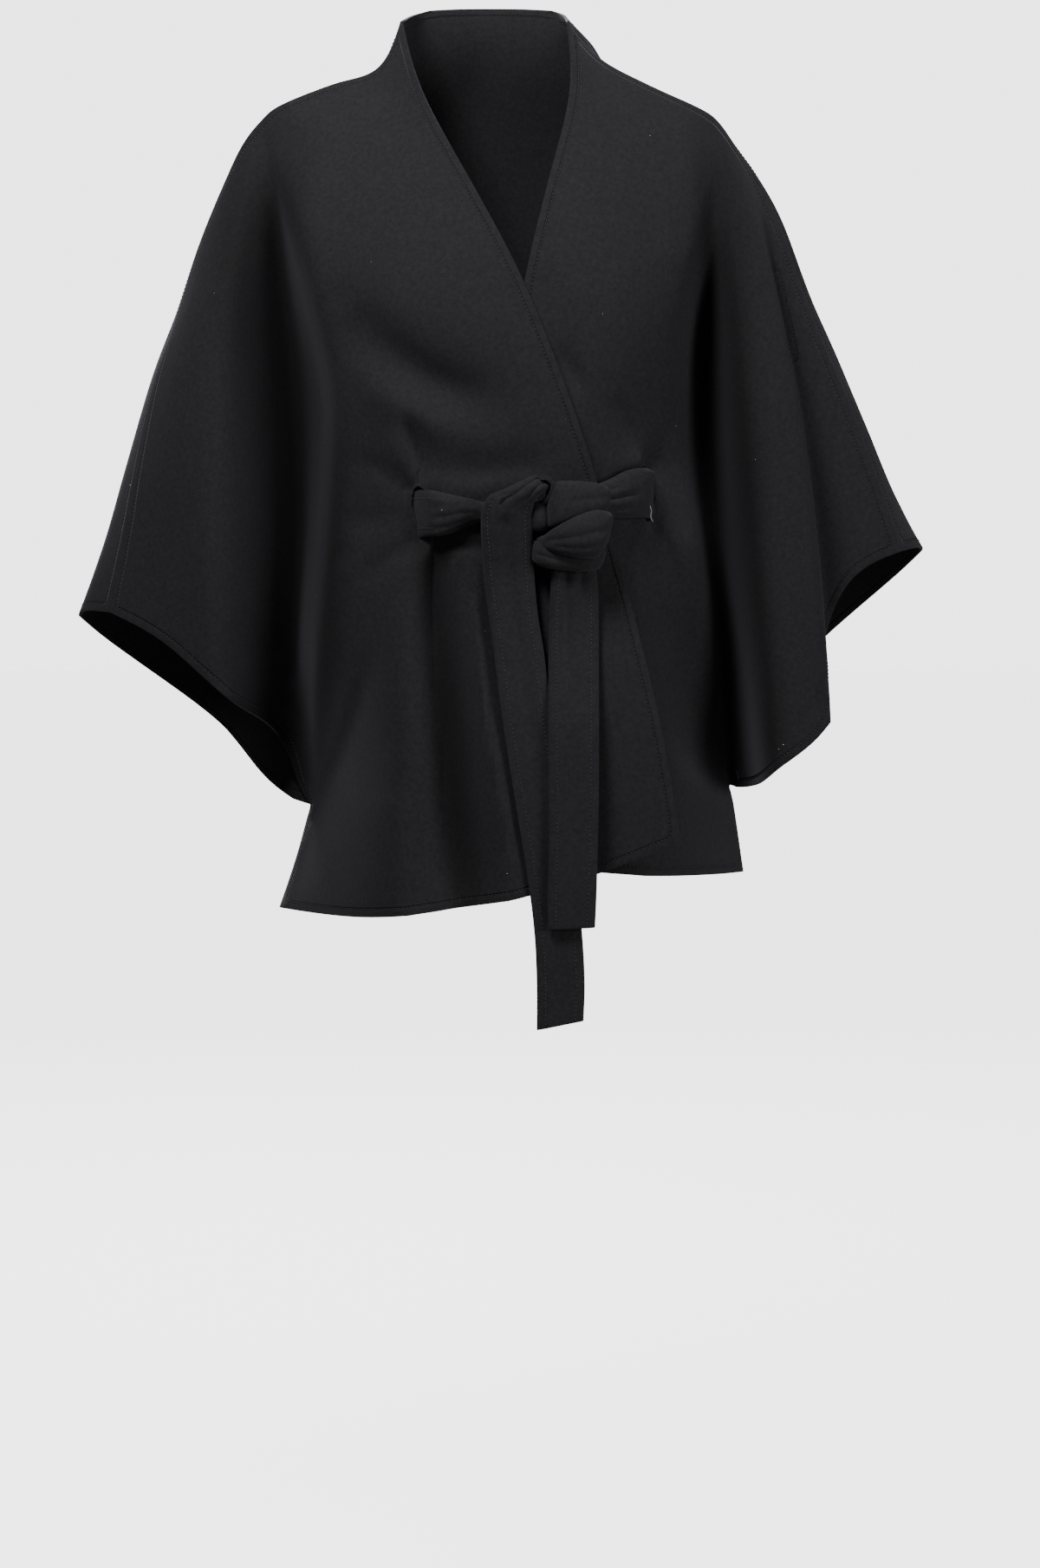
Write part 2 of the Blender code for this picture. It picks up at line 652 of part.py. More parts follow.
def belt_end(name, table, lift, trees, collection, material):
    """A hanging end of the belt, laid on whatever is behind it."""
    rows = filled([tuple(value * MM for value in point) for point in table])
    resting = 0.0
    for row in rows:
        x, y, z, width, thick = row
        places = x + width * np.linspace(-0.5, 0.5, REST_PLACES)
        under = [front_y(place, z, trees) for place in places]
        under = [depth for depth in under if depth is not None]
        if under:
            resting = min(under) - CLOTH / 2 - lift - thick / 2
        row[1] = min(y, resting)
    depths = np.concatenate((rows[:1, 1], rows[:, 1], rows[-1:, 1]))
    eased = (depths[:-2] + 2 * depths[1:-1] + depths[2:]) / 4
    rows[:, 1] = np.minimum(rows[:, 1], eased)
    wide = [np.array((1.0, 0, 0))] * len(rows)
    return ribbon(name, rows[:, :3], rows[:, 3:], wide, collection, material)


def knot_part(name, table, collection, material):
    rows = filled([tuple(value * MM for value in row[:5]) for row in table])
    leans = filled([(row.lean_x, row.lean_y, row.lean_z) for row in table])
    return ribbon(name, rows[:, :3], rows[:, 3:], list(leans), collection, material)


def main():
    for obj in list(bpy.data.objects):
        bpy.data.objects.remove(obj, do_unlink=True)
    jacket = new_collection("kimono_jacket")
    cutters = new_collection("cutters")
    cloth = wool("black_wool", WOOL)

    right_grid = front_grid(RIGHT_FRONT, RIGHT_WING_COLUMNS)
    left_grid = front_grid(LEFT_FRONT, LEFT_WING_COLUMNS)
    right_back = back_half(right_grid, mirror=False)
    left_back = back_half(left_grid, mirror=True)
    back_grid = [right[::-1] + left[1:] for right, left in zip(right_back, left_back)]

    right = Sheet("right_front", right_grid, rightward=False)
    left = Sheet("left_front", left_grid, rightward=True)
    back = Sheet("back", back_grid, rightward=False)
    side = sum(BODY_COLUMNS)
    centre = len(right_back[0]) - 1
    reach = sum(BACK_NECK_COLUMNS) + side
    right.sew(front_seams(len(right_grid[0])), [(UNDERARM_ROW, side)])
    left.sew(front_seams(len(left_grid[0])), [(UNDERARM_ROW, side)])
    back.sew(back_seams(centre, len(back_grid[0])),
             [(UNDERARM_ROW, centre - reach), (UNDERARM_ROW, centre + reach)])
    stand_out(right, RIGHT_FOLDS)
    stand_out(left, LEFT_FOLDS)
    press_behind(left, right)

    totals = face_normals((right, left, back))
    right_panel, left_panel, _ = (wall_object(sheet, totals, jacket, cloth)
                                  for sheet in (right, left, back))
    trees = (right.tree(), left.tree())
    cut_slot(right_panel, RIGHT_SLOT, trees[0], cutters)
    cut_slot(left_panel, LEFT_SLOT, trees[1], cutters)

    strip = wool("belt_wool", BELT_WOOL)
    belt_round(trees, jacket, strip)
    long_end = belt_end("belt_end_long", LONG_END, LONG_END_LIFT, trees, jacket, strip)
    trees += (mesh_tree(long_end),)
    belt_end("belt_end_short", SHORT_END, SHORT_END_LIFT, trees, jacket, strip)
    for name, table in KNOT.items():
        knot_part(name, table, jacket, strip)


main()
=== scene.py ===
"""Looks of the kimono jacket: felted wool panels, topstitching and the knotted tie belt."""

import math
from collections import namedtuple

import bmesh
import bpy
import numpy as np
from mathutils import Matrix, Vector
from mathutils.bvhtree import BVHTree
from mathutils.kdtree import KDTree


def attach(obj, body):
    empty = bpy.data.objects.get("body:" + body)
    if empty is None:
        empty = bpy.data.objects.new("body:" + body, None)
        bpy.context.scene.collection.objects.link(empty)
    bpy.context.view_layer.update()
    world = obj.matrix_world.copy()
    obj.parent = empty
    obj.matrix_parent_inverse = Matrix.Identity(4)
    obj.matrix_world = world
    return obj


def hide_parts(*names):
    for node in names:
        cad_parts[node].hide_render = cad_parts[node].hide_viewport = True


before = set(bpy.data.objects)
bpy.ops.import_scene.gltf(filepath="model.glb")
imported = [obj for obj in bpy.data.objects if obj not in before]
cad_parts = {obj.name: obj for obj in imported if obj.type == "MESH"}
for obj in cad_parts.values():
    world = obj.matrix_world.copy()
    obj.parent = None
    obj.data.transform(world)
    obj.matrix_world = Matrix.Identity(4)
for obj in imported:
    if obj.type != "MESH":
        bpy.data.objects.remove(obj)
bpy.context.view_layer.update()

MM = 0.001
CLOTH = 2.6 * MM              # the wool's thickness
STITCH_INSET = 7 * MM         # topstitching, in from an edge
STITCH_PITCH = 3.6 * MM
STITCH_LENGTH = 2.5 * MM
THREAD = 0.42 * MM            # radius of the sewing thread
THREAD_SIDES = 5
THREAD_LIFT = np.array((-0.5, 0.4, -0.5))   # a stitch's ends sink in, its middle stands out
SEAM_SCRAP = 12               # a line over a panel with no more points than this isn't sewn

SMOOTHING = 2                 # levels of subdivision of a panel
DOUBLES = 0.01 * MM           # the solid's corners this close together are one point
QUAD_ANGLE = math.radians(60)
RIM_ANGLE = math.radians(50)  # a panel's rim turns by more than this
RIM_FACE = (0.6 * CLOTH, 1.25 * CLOTH)      # a rim is about as wide as the wool is thick
RIM_SPACING = 1.2 * MM        # from one measured point of a rim to the next
RIM_ROUNDING = 0.75 * MM
CORNER_ANGLE = math.radians(25)             # a rim that turns more has a cut corner
SEWN_GAP = 0.02 * MM          # left between two walls that are sewn together
SEAM_REACH = 0.6 * MM         # a front's point this near to the back lies on a seam
UNDERARM_REACH = 4 * MM       # the same below UNDERARM_Z, where the solids stand apart
UNDERARM_Z = -640 * MM        # the side seams start below this height
FLOOR_Z = -1.42               # the hem hangs well above it
FLOOR_SIZE = 60

# The camera stands in front, a little below the belt, and looks slightly down
CAMERA_PLACE = (0.021, -3.0, -0.45)
CAMERA_PITCH = math.atan(190 / 3000)
PIXEL_SLOPE = 0.00026         # tangent of the angle between two pixels at the picture's middle
PICTURE_HEIGHT = 1810         # pixels
SENSOR = 36.0                 # millimetres, along the picture's height

ROOM_LIGHT = 0.14             # how strongly the room lights the jacket
ROOM_SEEN = 3.4               # how bright the room itself looks
FLOOR_GLOW = 3.2              # brings the floor up to the room's brightness
Light = namedtuple("Light", "name place target size power")
LIGHTS = (
    Light("key", (-0.55, -1.0, 1.05), (-0.08, 0, -0.2), 0.6, 59),
    Light("front", (2.2, -1.7, -0.2), (0.1, 0, -0.5), 1.2, 62),
    Light("back", (-0.5, 2.7, 1.3), (0, 0, -0.3), 1.4, 260),
)

WOOL_BLACK = (0.0100, 0.0094, 0.0106, 1)
BELT_BLACK = (0.0104, 0.0098, 0.0110, 1)
THREAD_BLACK = (0.004, 0.004, 0.005, 1)
LINT_PALE = (0.34, 0.33, 0.31, 1)
FLOOR_GREY = (0.3, 0.3, 0.3, 1)
SHEEN_TINT = (0.42, 0.41, 0.48, 1)
SHEEN = 0.10                  # of the lifted fibres
SHEEN_SPREAD = 0.45
WOOL_GLOSS = 0.12
FIBRES = 900.0                # the nap's three grains, as so many cells to a metre
TUFTS = 260.0
PATCHES = 22.0
NAP_HEIGHT = 0.35 * MM
NAP_BUMP = 0.8
GROOVE_REACH = 1.7 * MM       # to each side of the topstitching
GROOVE_DEPTH = 3.2            # against the nap's own height
# painted shade: how much of its colour the wool loses in the topstitching's groove
GROOVE_PAINTED_SHADE = 0.35

# Creases.  path: (x, z) points in millimetres; left and right: how far the crease reaches to
# either side of a path that runs down, and below and above one that runs to the right;
# depth: how far it sinks into the cloth, or rises where it is negative.
Crease = namedtuple("Crease", "path left right depth")
CREASE_FADE = 0.6             # how softly a crease ends: 0 is cut off, 1 is very soft
PATH_STEPS = 6                # from one point of a path to the next
PATH_ENDS = (0.02, 0.98)      # shares of a path
RIGHT_CREASES = (
    # the hollow across the bust, the ridge under it, and the cloth that sinks over the belt
    Crease(((-128, -218), (-98, -252), (-56, -284), (-4, -304)), 24, 17, 12.0),
    Crease(((-116, -284), (-84, -306), (-52, -322), (-30, -332)), 12, 16, -5.0),
    Crease(((-62, -352), (-34, -362), (4, -362), (44, -354)), 10, 20, 7.0),
    # pulled to the slot from above
    Crease(((-78, -312), (-70, -338), (-62, -358), (-55, -376)), 4, 10, 8.0),
    Crease(((-90, -322), (-84, -346), (-78, -372)), 9, 6, -4.0),
    Crease(((-76, -378), (-98, -362), (-124, -352)), 9, 6, 3.0),
    Crease(((-84, -398), (-110, -404), (-138, -402)), 9, 9, 2.6),
    Crease(((-76, -420), (-98, -440), (-124, -460)), 6, 9, 3.4),
    # under the slot: a sharp drop that widens to a broad valley, with a ridge to its left
    Crease(((-50, -412), (-53, -430), (-56, -456), (-56, -520)), 5, 14, 9.0),
    Crease(((-56, -430), (-54, -500), (-48, -580), (-42, -660), (-36, -760)), 9, 26, 14.0),
    Crease(((-78, -430), (-80, -500), (-82, -600), (-82, -760)), 22, 12, -6.0),
    # the ridge beside the long end, and the deep valley behind that end
    Crease(((-14, -434), (-16, -500), (-8, -576), (2, -632), (20, -740)), 10, 5, -6.0),
    Crease(((-2, -424), (-2, -488), (8, -546), (18, -597), (30, -666), (44, -740)), 6, 12, 10.0),
    # down the side of the bodice, and the line of pull below the sleeve
    Crease(((-192, -89), (-171, -149), (-152, -233), (-141, -290), (-141, -343), (-148, -447),
            (-160, -550), (-164, -655)), 5, 16, -4.0),
    Crease(((-204, -110), (-185, -160), (-168, -233), (-157, -290), (-157, -343), (-164, -447),
            (-172, -550), (-172, -640)), 18, 6, 5.0),
    Crease(((-108, -508), (-122, -560), (-142, -616), (-162, -656)), 4, 14, 5.5),
    Crease(((-133, -424), (-140, -446)), 4, 5, 2.4),
    # between slot and knot
    Crease(((-44, -424), (-14, -428), (8, -430)), 6, 6, 4.0),
)
LEFT_CREASES = (
    # the bodice's fullness, out to the valley beside the sleeve
    Crease(((158, -180), (168, -280), (172, -360), (176, -440), (186, -520), (198, -600),
            (206, -680)), 24, 14, -12.0),
    Crease(((138, -350), (150, -326), (156, -296)), 8, 6, 3.4),
    Crease(((126, -350), (116, -322), (102, -296)), 8, 12, 3.4),
    Crease(((48, -254), (62, -274), (74, -298)), 14, 10, 5.0),
    Crease(((142, -404), (152, -430), (160, -470)), 8, 6, 4.0),
    Crease(((130, -410), (132, -450), (134, -520), (136, -600), (140, -690)), 12, 14, 4.0),
    Crease(((118, -404), (110, -440), (106, -500)), 7, 9, 3.0),
    Crease(((96, -470), (104, -560), (112, -720)), 14, 14, -3.0),
    Crease(((158, -396), (174, -437), (188, -494), (202, -603), (216, -700)), 16, 5, -4.0),
    Crease(((172, -396), (188, -437), (201, -494), (214, -603), (224, -680)), 5, 18, 5.0),
)
BACK_CREASES = (
    Crease(((-66, -330), (-40, -384), (-14, -420)), 18, 14, -2.4),
    Crease(((78, -336), (54, -388), (30, -424)), 16, 18, -2.4),
    Crease(((-110, -392), (-60, -400), (8, -404), (70, -398), (120, -388)), 12, 12, -3.0),
    Crease(((-52, -440), (-60, -540), (-66, -640), (-70, -740)), 24, 20, -4.5),
    Crease(((62, -440), (68, -540), (76, -640), (84, -730)), 22, 26, -4.0),
    Crease(((6, -450), (4, -560), (8, -720)), 22, 22, 3.0),
    Crease(((-128, -470), (-134, -540), (-146, -610)), 14, 12, -3.0),
    Crease(((132, -460), (140, -530), (152, -596)), 14, 14, -3.0),
)

# Painted shade: the wool's colour is darkened along the deep valleys beside the sleeves and below
# the slot, in place of the shade that falls in them.  path, left and right: as for a crease; dark:
# how much of the wool's colour is lost in the middle.
PaintedShade = namedtuple("PaintedShade", "path left right dark")
PAINTED_SHADE_FADE = 0.4
PAINTED_SHADE_FLATNESS = 3             # a higher power has a broader dark middle
RIGHT_PAINTED_SHADES = (
    PaintedShade(((-190, -70), (-197, -120), (-198, -157), (-190, -219), (-176, -280), (-167, -342),
          (-164, -403), (-166, -465), (-171, -526), (-178, -588), (-180, -660)), 50, 30, 0.84),
    PaintedShade(((-60, -405), (-54, -464), (-47, -524), (-40, -584), (-36, -644), (-28, -705),
          (-20, -800)), 16, 17, 0.6),
)
LEFT_PAINTED_SHADES = (
    PaintedShade(((186, -60), (188, -120), (192, -157), (195, -219), (196, -280), (202, -342),
          (204, -403), (207, -465), (213, -526), (222, -588), (228, -680)), 16, 30, 0.7),
)

# The belt, seen from in front.  Each row is one cross-section, from one edge of the strip to
# the other, in millimetres.  rise: how far its middle stands out from the edges.
Row = namedtuple("Row", "x0 y0 z0 x1 y1 z1 rise")

BELT_SHEET = 3.8 * MM         # two layers of the wool, pressed
STRIP_ACROSS = 20             # cells across a strip
STRIP_STEPS = 7               # cells from one row of a table to the next
STRIP_ROUNDING = 0.4 * BELT_SHEET
LAY_GAP = 0.3 * MM            # between a hanging end and what it lies on
LAY_SPREAD = 3                # rows to each side that come forward together
FAR_IN_FRONT = -1             # y from which the cloth is looked for

BELT = (                      # from the knot through the right slot, round, and back
    Row(36, -131, -389, 36, -131, -404, 5),
    Row(12, -129, -391, 12, -129, -406, 6),
    Row(-8, -127, -391, -8, -127, -404, 7),
    Row(-26, -124, -387, -22, -123, -407, 8),
    Row(-44, -120, -383, -38, -120, -414, 8),
    Row(-55, -117, -380, -50, -118, -417, 4),
    Row(-64, -107, -379, -61, -107, -418, 2),
    Row(-72, -95, -379, -71, -95, -420, 1),
    Row(-94, -81, -380, -94, -81, -421, 0),
    Row(-122, -38, -380, -122, -38, -421, 0),
    Row(-131, 8, -379, -131, 8, -421, 0),
    Row(-112, 60, -378, -112, 60, -420, 0),
    Row(-60, 90, -376, -60, 90, -418, 0),
    Row(8, 98, -373, 8, 98, -415, 0),
    Row(76, 90, -370, 76, 90, -412, 0),
    Row(126, 60, -367, 126, 60, -409, 0),
    Row(147, 14, -365, 147, 14, -407, 0),
    Row(146, -38, -363, 146, -38, -405, 0),
    Row(139, -66, -362, 138, -67, -403, 1),
    Row(133, -83, -361, 133, -83, -402, 2),
    Row(127, -98, -360, 128, -97, -401, 3),
    Row(113, -110, -363, 115, -109, -401, 6),
    Row(98, -119, -371, 98, -119, -401, 7),
    Row(82, -128, -377, 82, -128, -400, 6),
    Row(64, -133, -380, 64, -133, -399, 5),
)
LONG_TAIL = (                 # gathered at the knot's top, then over it and down
    Row(38, -140, -370, 49, -141, -374, 0),
    Row(32, -146, -369, 46, -147, -376, 2),
    Row(21, -149, -374, 41, -148, -379, 5),
    Row(8, -149, -380, 36, -147, -383, 7),
    Row(-4, -146, -385, 32, -145, -389, 8),
    Row(-10, -143, -395, 30, -143, -398, 8),
    Row(-11, -140, -411, 30, -141, -411, 7),
    Row(-10, -136, -430, 31, -137, -430, 6),
    Row(-9, -132, -452, 32, -133, -452, 5),
    Row(-5, -133, -484, 35, -134, -484, 4),
    Row(0, -138, -522, 41, -138, -521, 3),
    Row(5, -146, -564, 46, -146, -563, 2),
    Row(12, -151, -612, 53, -152, -612, 1),
    Row(20, -155, -662, 61, -156, -663, 0.6),
    Row(28, -156, -712, 69, -156, -713, 0.6),
    Row(34, -156, -762, 74, -156, -760, 1),
    Row(36, -156, -806, 76, -156, -802, 1.5),
    Row(36, -156, -842, 75, -156, -834, 1.5),
)
SHORT_TAIL = (                # out from under the knot and straight down in front
    Row(52, -135, -430, 80, -135, -429, 1),
    Row(49, -137, -446, 85, -136, -445, 4),
    Row(48, -135, -466, 87, -134, -465, 5),
    Row(47, -134, -492, 88, -134, -492, 4.5),
    Row(46, -141, -536, 88, -140, -536, 4),
    Row(46, -155, -590, 88, -154, -590, 3),
    Row(46, -160, -640, 88, -159, -640, 2),
    Row(46, -162, -690, 87, -161, -690, 2),
    Row(45, -162, -728, 86, -162, -728, 2),
    Row(45, -162, -755, 85, -162, -753, 1.5),
)
TOP_BAND = (                  # the knot's flat band
    Row(97, -136, -380, 97, -136, -392, 0),
    Row(91, -143, -376, 92, -143, -397, 3),
    Row(80, -147, -374, 84, -148, -401, 5),
    Row(66, -149, -373, 67, -150, -406, 5),
    Row(54, -148, -373, 54, -149, -409, 4),
    Row(48, -144, -375, 48, -145, -410, 2),
    Row(45, -136, -378, 44, -137, -408, 0),
)
WRAP = (                      # leaf-shaped, across the knot under the band
    Row(99, -136, -402, 93, -137, -424, 1),
    Row(95, -147, -399, 90, -147, -430, 4),
    Row(86, -153, -398, 86, -152, -435, 7),
    Row(72, -156, -402, 72, -153, -436, 8),
    Row(60, -156, -408, 58, -152, -433, 6),
    Row(50, -152, -414, 48, -149, -430, 4),
    Row(43, -146, -419, 42, -144, -427, 2),
    Row(37, -138, -421, 36, -138, -426, 0),
)
UNDER_FOLD = (                # the turn below the leaf
    Row(93, -134, -430, 89, -133, -442, 1),
    Row(88, -143, -434, 86, -141, -445, 3),
    Row(76, -147, -435, 74, -145, -447, 4),
    Row(60, -147, -431, 58, -144, -446, 4),
    Row(46, -145, -427, 44, -143, -444, 4),
    Row(38, -141, -425, 36, -139, -441, 3),
    Row(32, -134, -422, 31, -133, -433, 0),
)
KNOT_EYE = (                  # a bend of the strip that shows inside the knot's eye
    Row(47, -132, -388, 50, -132, -410, 0),
    Row(43, -138, -389, 46, -139, -412, 3),
    Row(37, -140, -390, 39, -141, -413, 5),
    Row(31, -137, -391, 32, -138, -413, 3),
    Row(27, -131, -392, 28, -131, -412, 0),
)
KNOT_LOOP = (                 # the strip's edge, curled over the eye
    Row(38, -152, -369, 38, -140, -370, 0),
    Row(45, -153, -370, 45, -141, -371, 0),
    Row(49, -152, -375, 48, -141, -376, 0),
    Row(48, -150, -382, 47, -139, -382, 0),
    Row(43, -147, -389, 42, -137, -388, 0),
    Row(37, -143, -394, 37, -135, -392, 0),
)

# Folds pressed into a strip, from (row, share of the width) to (row, share).  reach: to either
# side, in millimetres; depth: how far it sinks.
Pleat = namedtuple("Pleat", "row0 across0 row1 across1 reach depth")
PLEAT_FADE = 0.8              # rows over which a pleat starts and ends
BELT_PLEATS = (
    Pleat(0.2, 0.45, 5.2, 0.62, 3.6, 2.4),
    Pleat(0.0, 0.22, 3.6, 0.20, 2.5, 1.2),
    Pleat(0.5, 0.75, 5.6, 0.86, 2.8, 1.6),
    Pleat(2.6, 0.30, 5.6, 0.36, 4.0, 1.2),
    Pleat(20.3, 0.50, 24.0, 0.50, 2.4, 3.0),
    Pleat(20.8, 0.80, 24.0, 0.76, 2.2, 2.0),
    Pleat(21.3, 0.24, 24.0, 0.28, 2.4, 1.4),
)
LONG_TAIL_PLEATS = (
    Pleat(0.2, 0.30, 5.0, 0.32, 2.4, 2.6),
    Pleat(0.2, 0.66, 3.8, 0.72, 2.2, 2.2),
    Pleat(2.5, 0.12, 6.2, 0.10, 2.6, 1.4),
    Pleat(5.0, 0.48, 12.0, 0.54, 6.0, 2.0),
    Pleat(10.0, 0.60, 17.0, 0.44, 7.0, 0.8),
)
SHORT_TAIL_PLEATS = (
    Pleat(0.0, 0.30, 4.2, 0.36, 4.5, 2.6),
    Pleat(0.0, 0.70, 2.8, 0.64, 3.2, 1.6),
    Pleat(4.5, 0.40, 9.0, 0.55, 7.0, 0.9),
)
BAND_PLEATS = (Pleat(0.6, 0.45, 3.6, 0.52, 3.2, 1.0),)
WRAP_PLEATS = (
    Pleat(0.4, 0.42, 6.0, 0.52, 3.0, 1.4),
    Pleat(0.8, 0.78, 5.0, 0.74, 2.0, 1.0),
)
FOLD_PLEATS = (Pleat(0.4, 0.55, 5.4, 0.5, 2.0, 1.0),)

# A slot's outer lip as the belt pulls it.  x, z and lean: the solid's slot, its middle in
# millimetres and its lean in radians; outward: the side of x that its outer lip is on;
# curve: (x, z) points of the pulled lip in millimetres, from its top to its bottom.
Lip = namedtuple("Lip", "x z lean outward curve")
RIGHT_LIP = Lip(-64, -397, 0.14, -1, ((-71, -376), (-74, -389), (-69, -403), (-57, -418)))
LEFT_LIP = Lip(132, -383, 0.10, 1, ((130, -357), (138, -370), (141, -386), (135, -405)))
SLOT_HALF_HEIGHT = 26 * MM
SLOT_HALF_WIDTH = 10 * MM
LIP_REACH = 14 * MM           # how far round the slot its cloth gives
LIP_PINCH = 0.8               # how much of the slot's width closes at its two ends
LIP_BEHIND = -40 * MM         # cloth behind this y doesn't give

# Specks of pale lint caught in the nap, seen from in front: place and size in millimetres
LINT_THICK = 0.35 * MM
LINT_NARROW = 0.55            # its width against its length
LINT_TURN = 1.3               # radians from one speck to the next
LINT_RIPPLE = 0.12            # its unevenness against its length, and how fast it changes
LINT_WAVE = 2.4
Lint = namedtuple("Lint", "x z size")
LINT = (
    Lint(253, -601, 1.1), Lint(249, -605, 0.8), Lint(10, -707, 1.0), Lint(13, -712, 0.7),
    Lint(92, -228, 0.8), Lint(135, -67, 0.8), Lint(-327, -372, 1.3), Lint(-46, -396, 0.9),
    Lint(-108, -181, 0.6), Lint(158, -321, 0.7), Lint(227, -351, 0.7), Lint(-247, -205, 0.6),
    Lint(-9, -500, 0.6), Lint(60, -318, 0.5), Lint(-160, -470, 0.6), Lint(205, -250, 0.5),
)
LOOSE_THREAD = ((134, -392), (136, -396), (134, -401), (137, -405))   # pale, at the left slot
LOOSE_RADIUS = 0.35 * MM
LOOSE_LIFT = Vector((0, 1.2 * MM, 0))       # of its middle line from the cloth


def linked(name, data):
    """A new object in the scene, of this mesh, curve, camera or light."""
    obj = bpy.data.objects.new(name, data)
    bpy.context.scene.collection.objects.link(obj)
    return obj


def only(obj):
    """Select one object alone and make it the active one."""
    bpy.ops.object.select_all(action="DESELECT")
    obj.select_set(True)
    bpy.context.view_layer.objects.active = obj


def applied(obj, kind, **settings):
    """Add one modifier with these settings and apply it."""
    only(obj)
    modifier = obj.modifiers.new(kind.title(), kind)
    for name, value in settings.items():
        setattr(modifier, name, value)
    bpy.ops.object.modifier_apply(modifier=modifier.name)


def points_of(mesh):
    places = np.empty(len(mesh.vertices) * 3)
    mesh.vertices.foreach_get("co", places)
    return places.reshape(-1, 3)


def set_points(mesh, places):
    mesh.vertices.foreach_set("co", places.ravel())
    mesh.update()


def store(piece, name, values):
    """Keep a number on each of a piece's points, for its material."""
    layer = piece.data.attributes.new(name, "FLOAT", "POINT")
    layer.data.foreach_set("value", values)


def point_tree(places):
    tree = KDTree(len(places))
    for i, place in enumerate(places):
        tree.insert(place, i)
    tree.balance()
    return tree


def node_copy(node, name):
    """A CAD node's shape as a new piece, its loose triangles merged and paired to quads."""
    piece = linked(name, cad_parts[node].data.copy())
    piece.data.materials.clear()
    only(piece)
    bpy.ops.object.mode_set(mode="EDIT")
    bpy.ops.mesh.select_all(action="SELECT")
    bpy.ops.mesh.remove_doubles(threshold=DOUBLES)
    bpy.ops.mesh.tris_convert_to_quads(face_threshold=QUAD_ANGLE, shape_threshold=QUAD_ANGLE)
    bpy.ops.mesh.customdata_custom_splitnormals_clear()
    bpy.ops.object.mode_set(mode="OBJECT")
    return piece


def crease_rims(piece):
    """Keep the cut edges of the wool crisp while the panel between them is smoothed."""
    mesh = bmesh.new()
    mesh.from_mesh(piece.data)
    layer = mesh.edges.layers.float.new("crease_edge")
    for edge in mesh.edges:
        if edge.calc_face_angle(0) < RIM_ANGLE:
            continue
        narrow = min(e.calc_length() for face in edge.link_faces for e in face.edges)
        if RIM_FACE[0] < narrow < RIM_FACE[1]:
            edge[layer] = 1.0
    corner = mesh.verts.layers.float.new("crease_vert")
    for vertex in mesh.verts:
        ways = [edge.other_vert(vertex).co - vertex.co for edge in vertex.link_edges
                if edge[layer] > 0]
        if len(ways) == 2 and ways[0].angle(-ways[1]) > CORNER_ANGLE:
            vertex[corner] = 1.0
    mesh.to_mesh(piece.data)
    mesh.free()


def smooth_curve(knots, times, steps):
    """Points on one smooth curve through some knots, with as many steps from each to the next."""
    knots = np.array(knots, dtype=float)
    slopes = np.gradient(knots, times, axis=0)
    points = [knots[0]]
    for i, span in enumerate(np.diff(times)):
        for k in range(1, steps + 1):
            u = k / steps
            points.append((1 + 2 * u) * (1 - u) ** 2 * knots[i]
                          + u * u * (3 - 2 * u) * knots[i + 1]
                          + (u * (1 - u) ** 2 * slopes[i]
                             + u * u * (u - 1) * slopes[i + 1]) * span)
    return np.array(points)


def way_to_path(places, path):
    """For each point, its distance beside a path in the front view, and how far along it is."""
    path = smooth_curve(path, np.arange(len(path)), PATH_STEPS) * MM
    flat = places[:, [0, 2]]
    steps = np.diff(path, axis=0)
    lengths = np.linalg.norm(steps, axis=1)
    starts = np.concatenate(([0.0], np.cumsum(lengths)[:-1]))
    nearest = np.full(len(flat), np.inf)
    beside = np.zeros(len(flat))
    along = np.zeros(len(flat))
    for start, step, length, run in zip(path, steps, lengths, starts):
        offset = flat - start
        share = np.clip(offset @ step / length ** 2, 0, 1)
        away = offset - share[:, None] * step
        distance = np.linalg.norm(away, axis=1)
        side = np.sign(step[0] * offset[:, 1] - step[1] * offset[:, 0])
        closer = distance < nearest
        nearest[closer] = distance[closer]
        beside[closer] = (distance * side)[closer]
        along[closer] = ((run + share * length) / lengths.sum())[closer]
    return beside, along


def fade(along, softness):
    """1 in the middle of a path, and close to 0 at its two ends."""
    return np.sin(np.pi * np.clip(along, *PATH_ENDS)) ** softness


def press_creases(piece, creases, inward):
    """Sink or raise the creases.  inward: 1 where the cloth's inside lies towards +Y."""
    places = points_of(piece.data)
    moved = np.zeros(len(places))
    for crease in creases:
        beside, along = way_to_path(places, crease.path)
        width = np.where(beside > 0, crease.right, crease.left) * MM
        moved += crease.depth * MM * fade(along, CREASE_FADE) * np.exp(-(beside / width) ** 2)
    places[:, 1] += moved * inward
    set_points(piece.data, places)


def paint_valley_shade(piece, painted_shades):
    """Store at each point the painted shade of the deep valleys: how much of the colour is lost."""
    places = points_of(piece.data)
    dark = np.zeros(len(places))
    for painted_shade in painted_shades:
        beside, along = way_to_path(places, painted_shade.path)
        width = np.where(beside > 0, painted_shade.right, painted_shade.left) * MM
        across = np.exp(-np.abs(beside / width) ** PAINTED_SHADE_FLATNESS)
        dark = np.maximum(dark, painted_shade.dark * fade(along, PAINTED_SHADE_FADE) * across)
    store(piece, "painted_shade", dark)


def slot_place(places, lip):
    """Each point's place beside and along a slot, in the front view."""
    x = places[:, 0] - lip.x * MM
    z = places[:, 2] - lip.z * MM
    turn_cos = math.cos(lip.lean)
    turn_sin = math.sin(lip.lean)
    return (x * turn_cos + z * turn_sin) * lip.outward, z * turn_cos - x * turn_sin


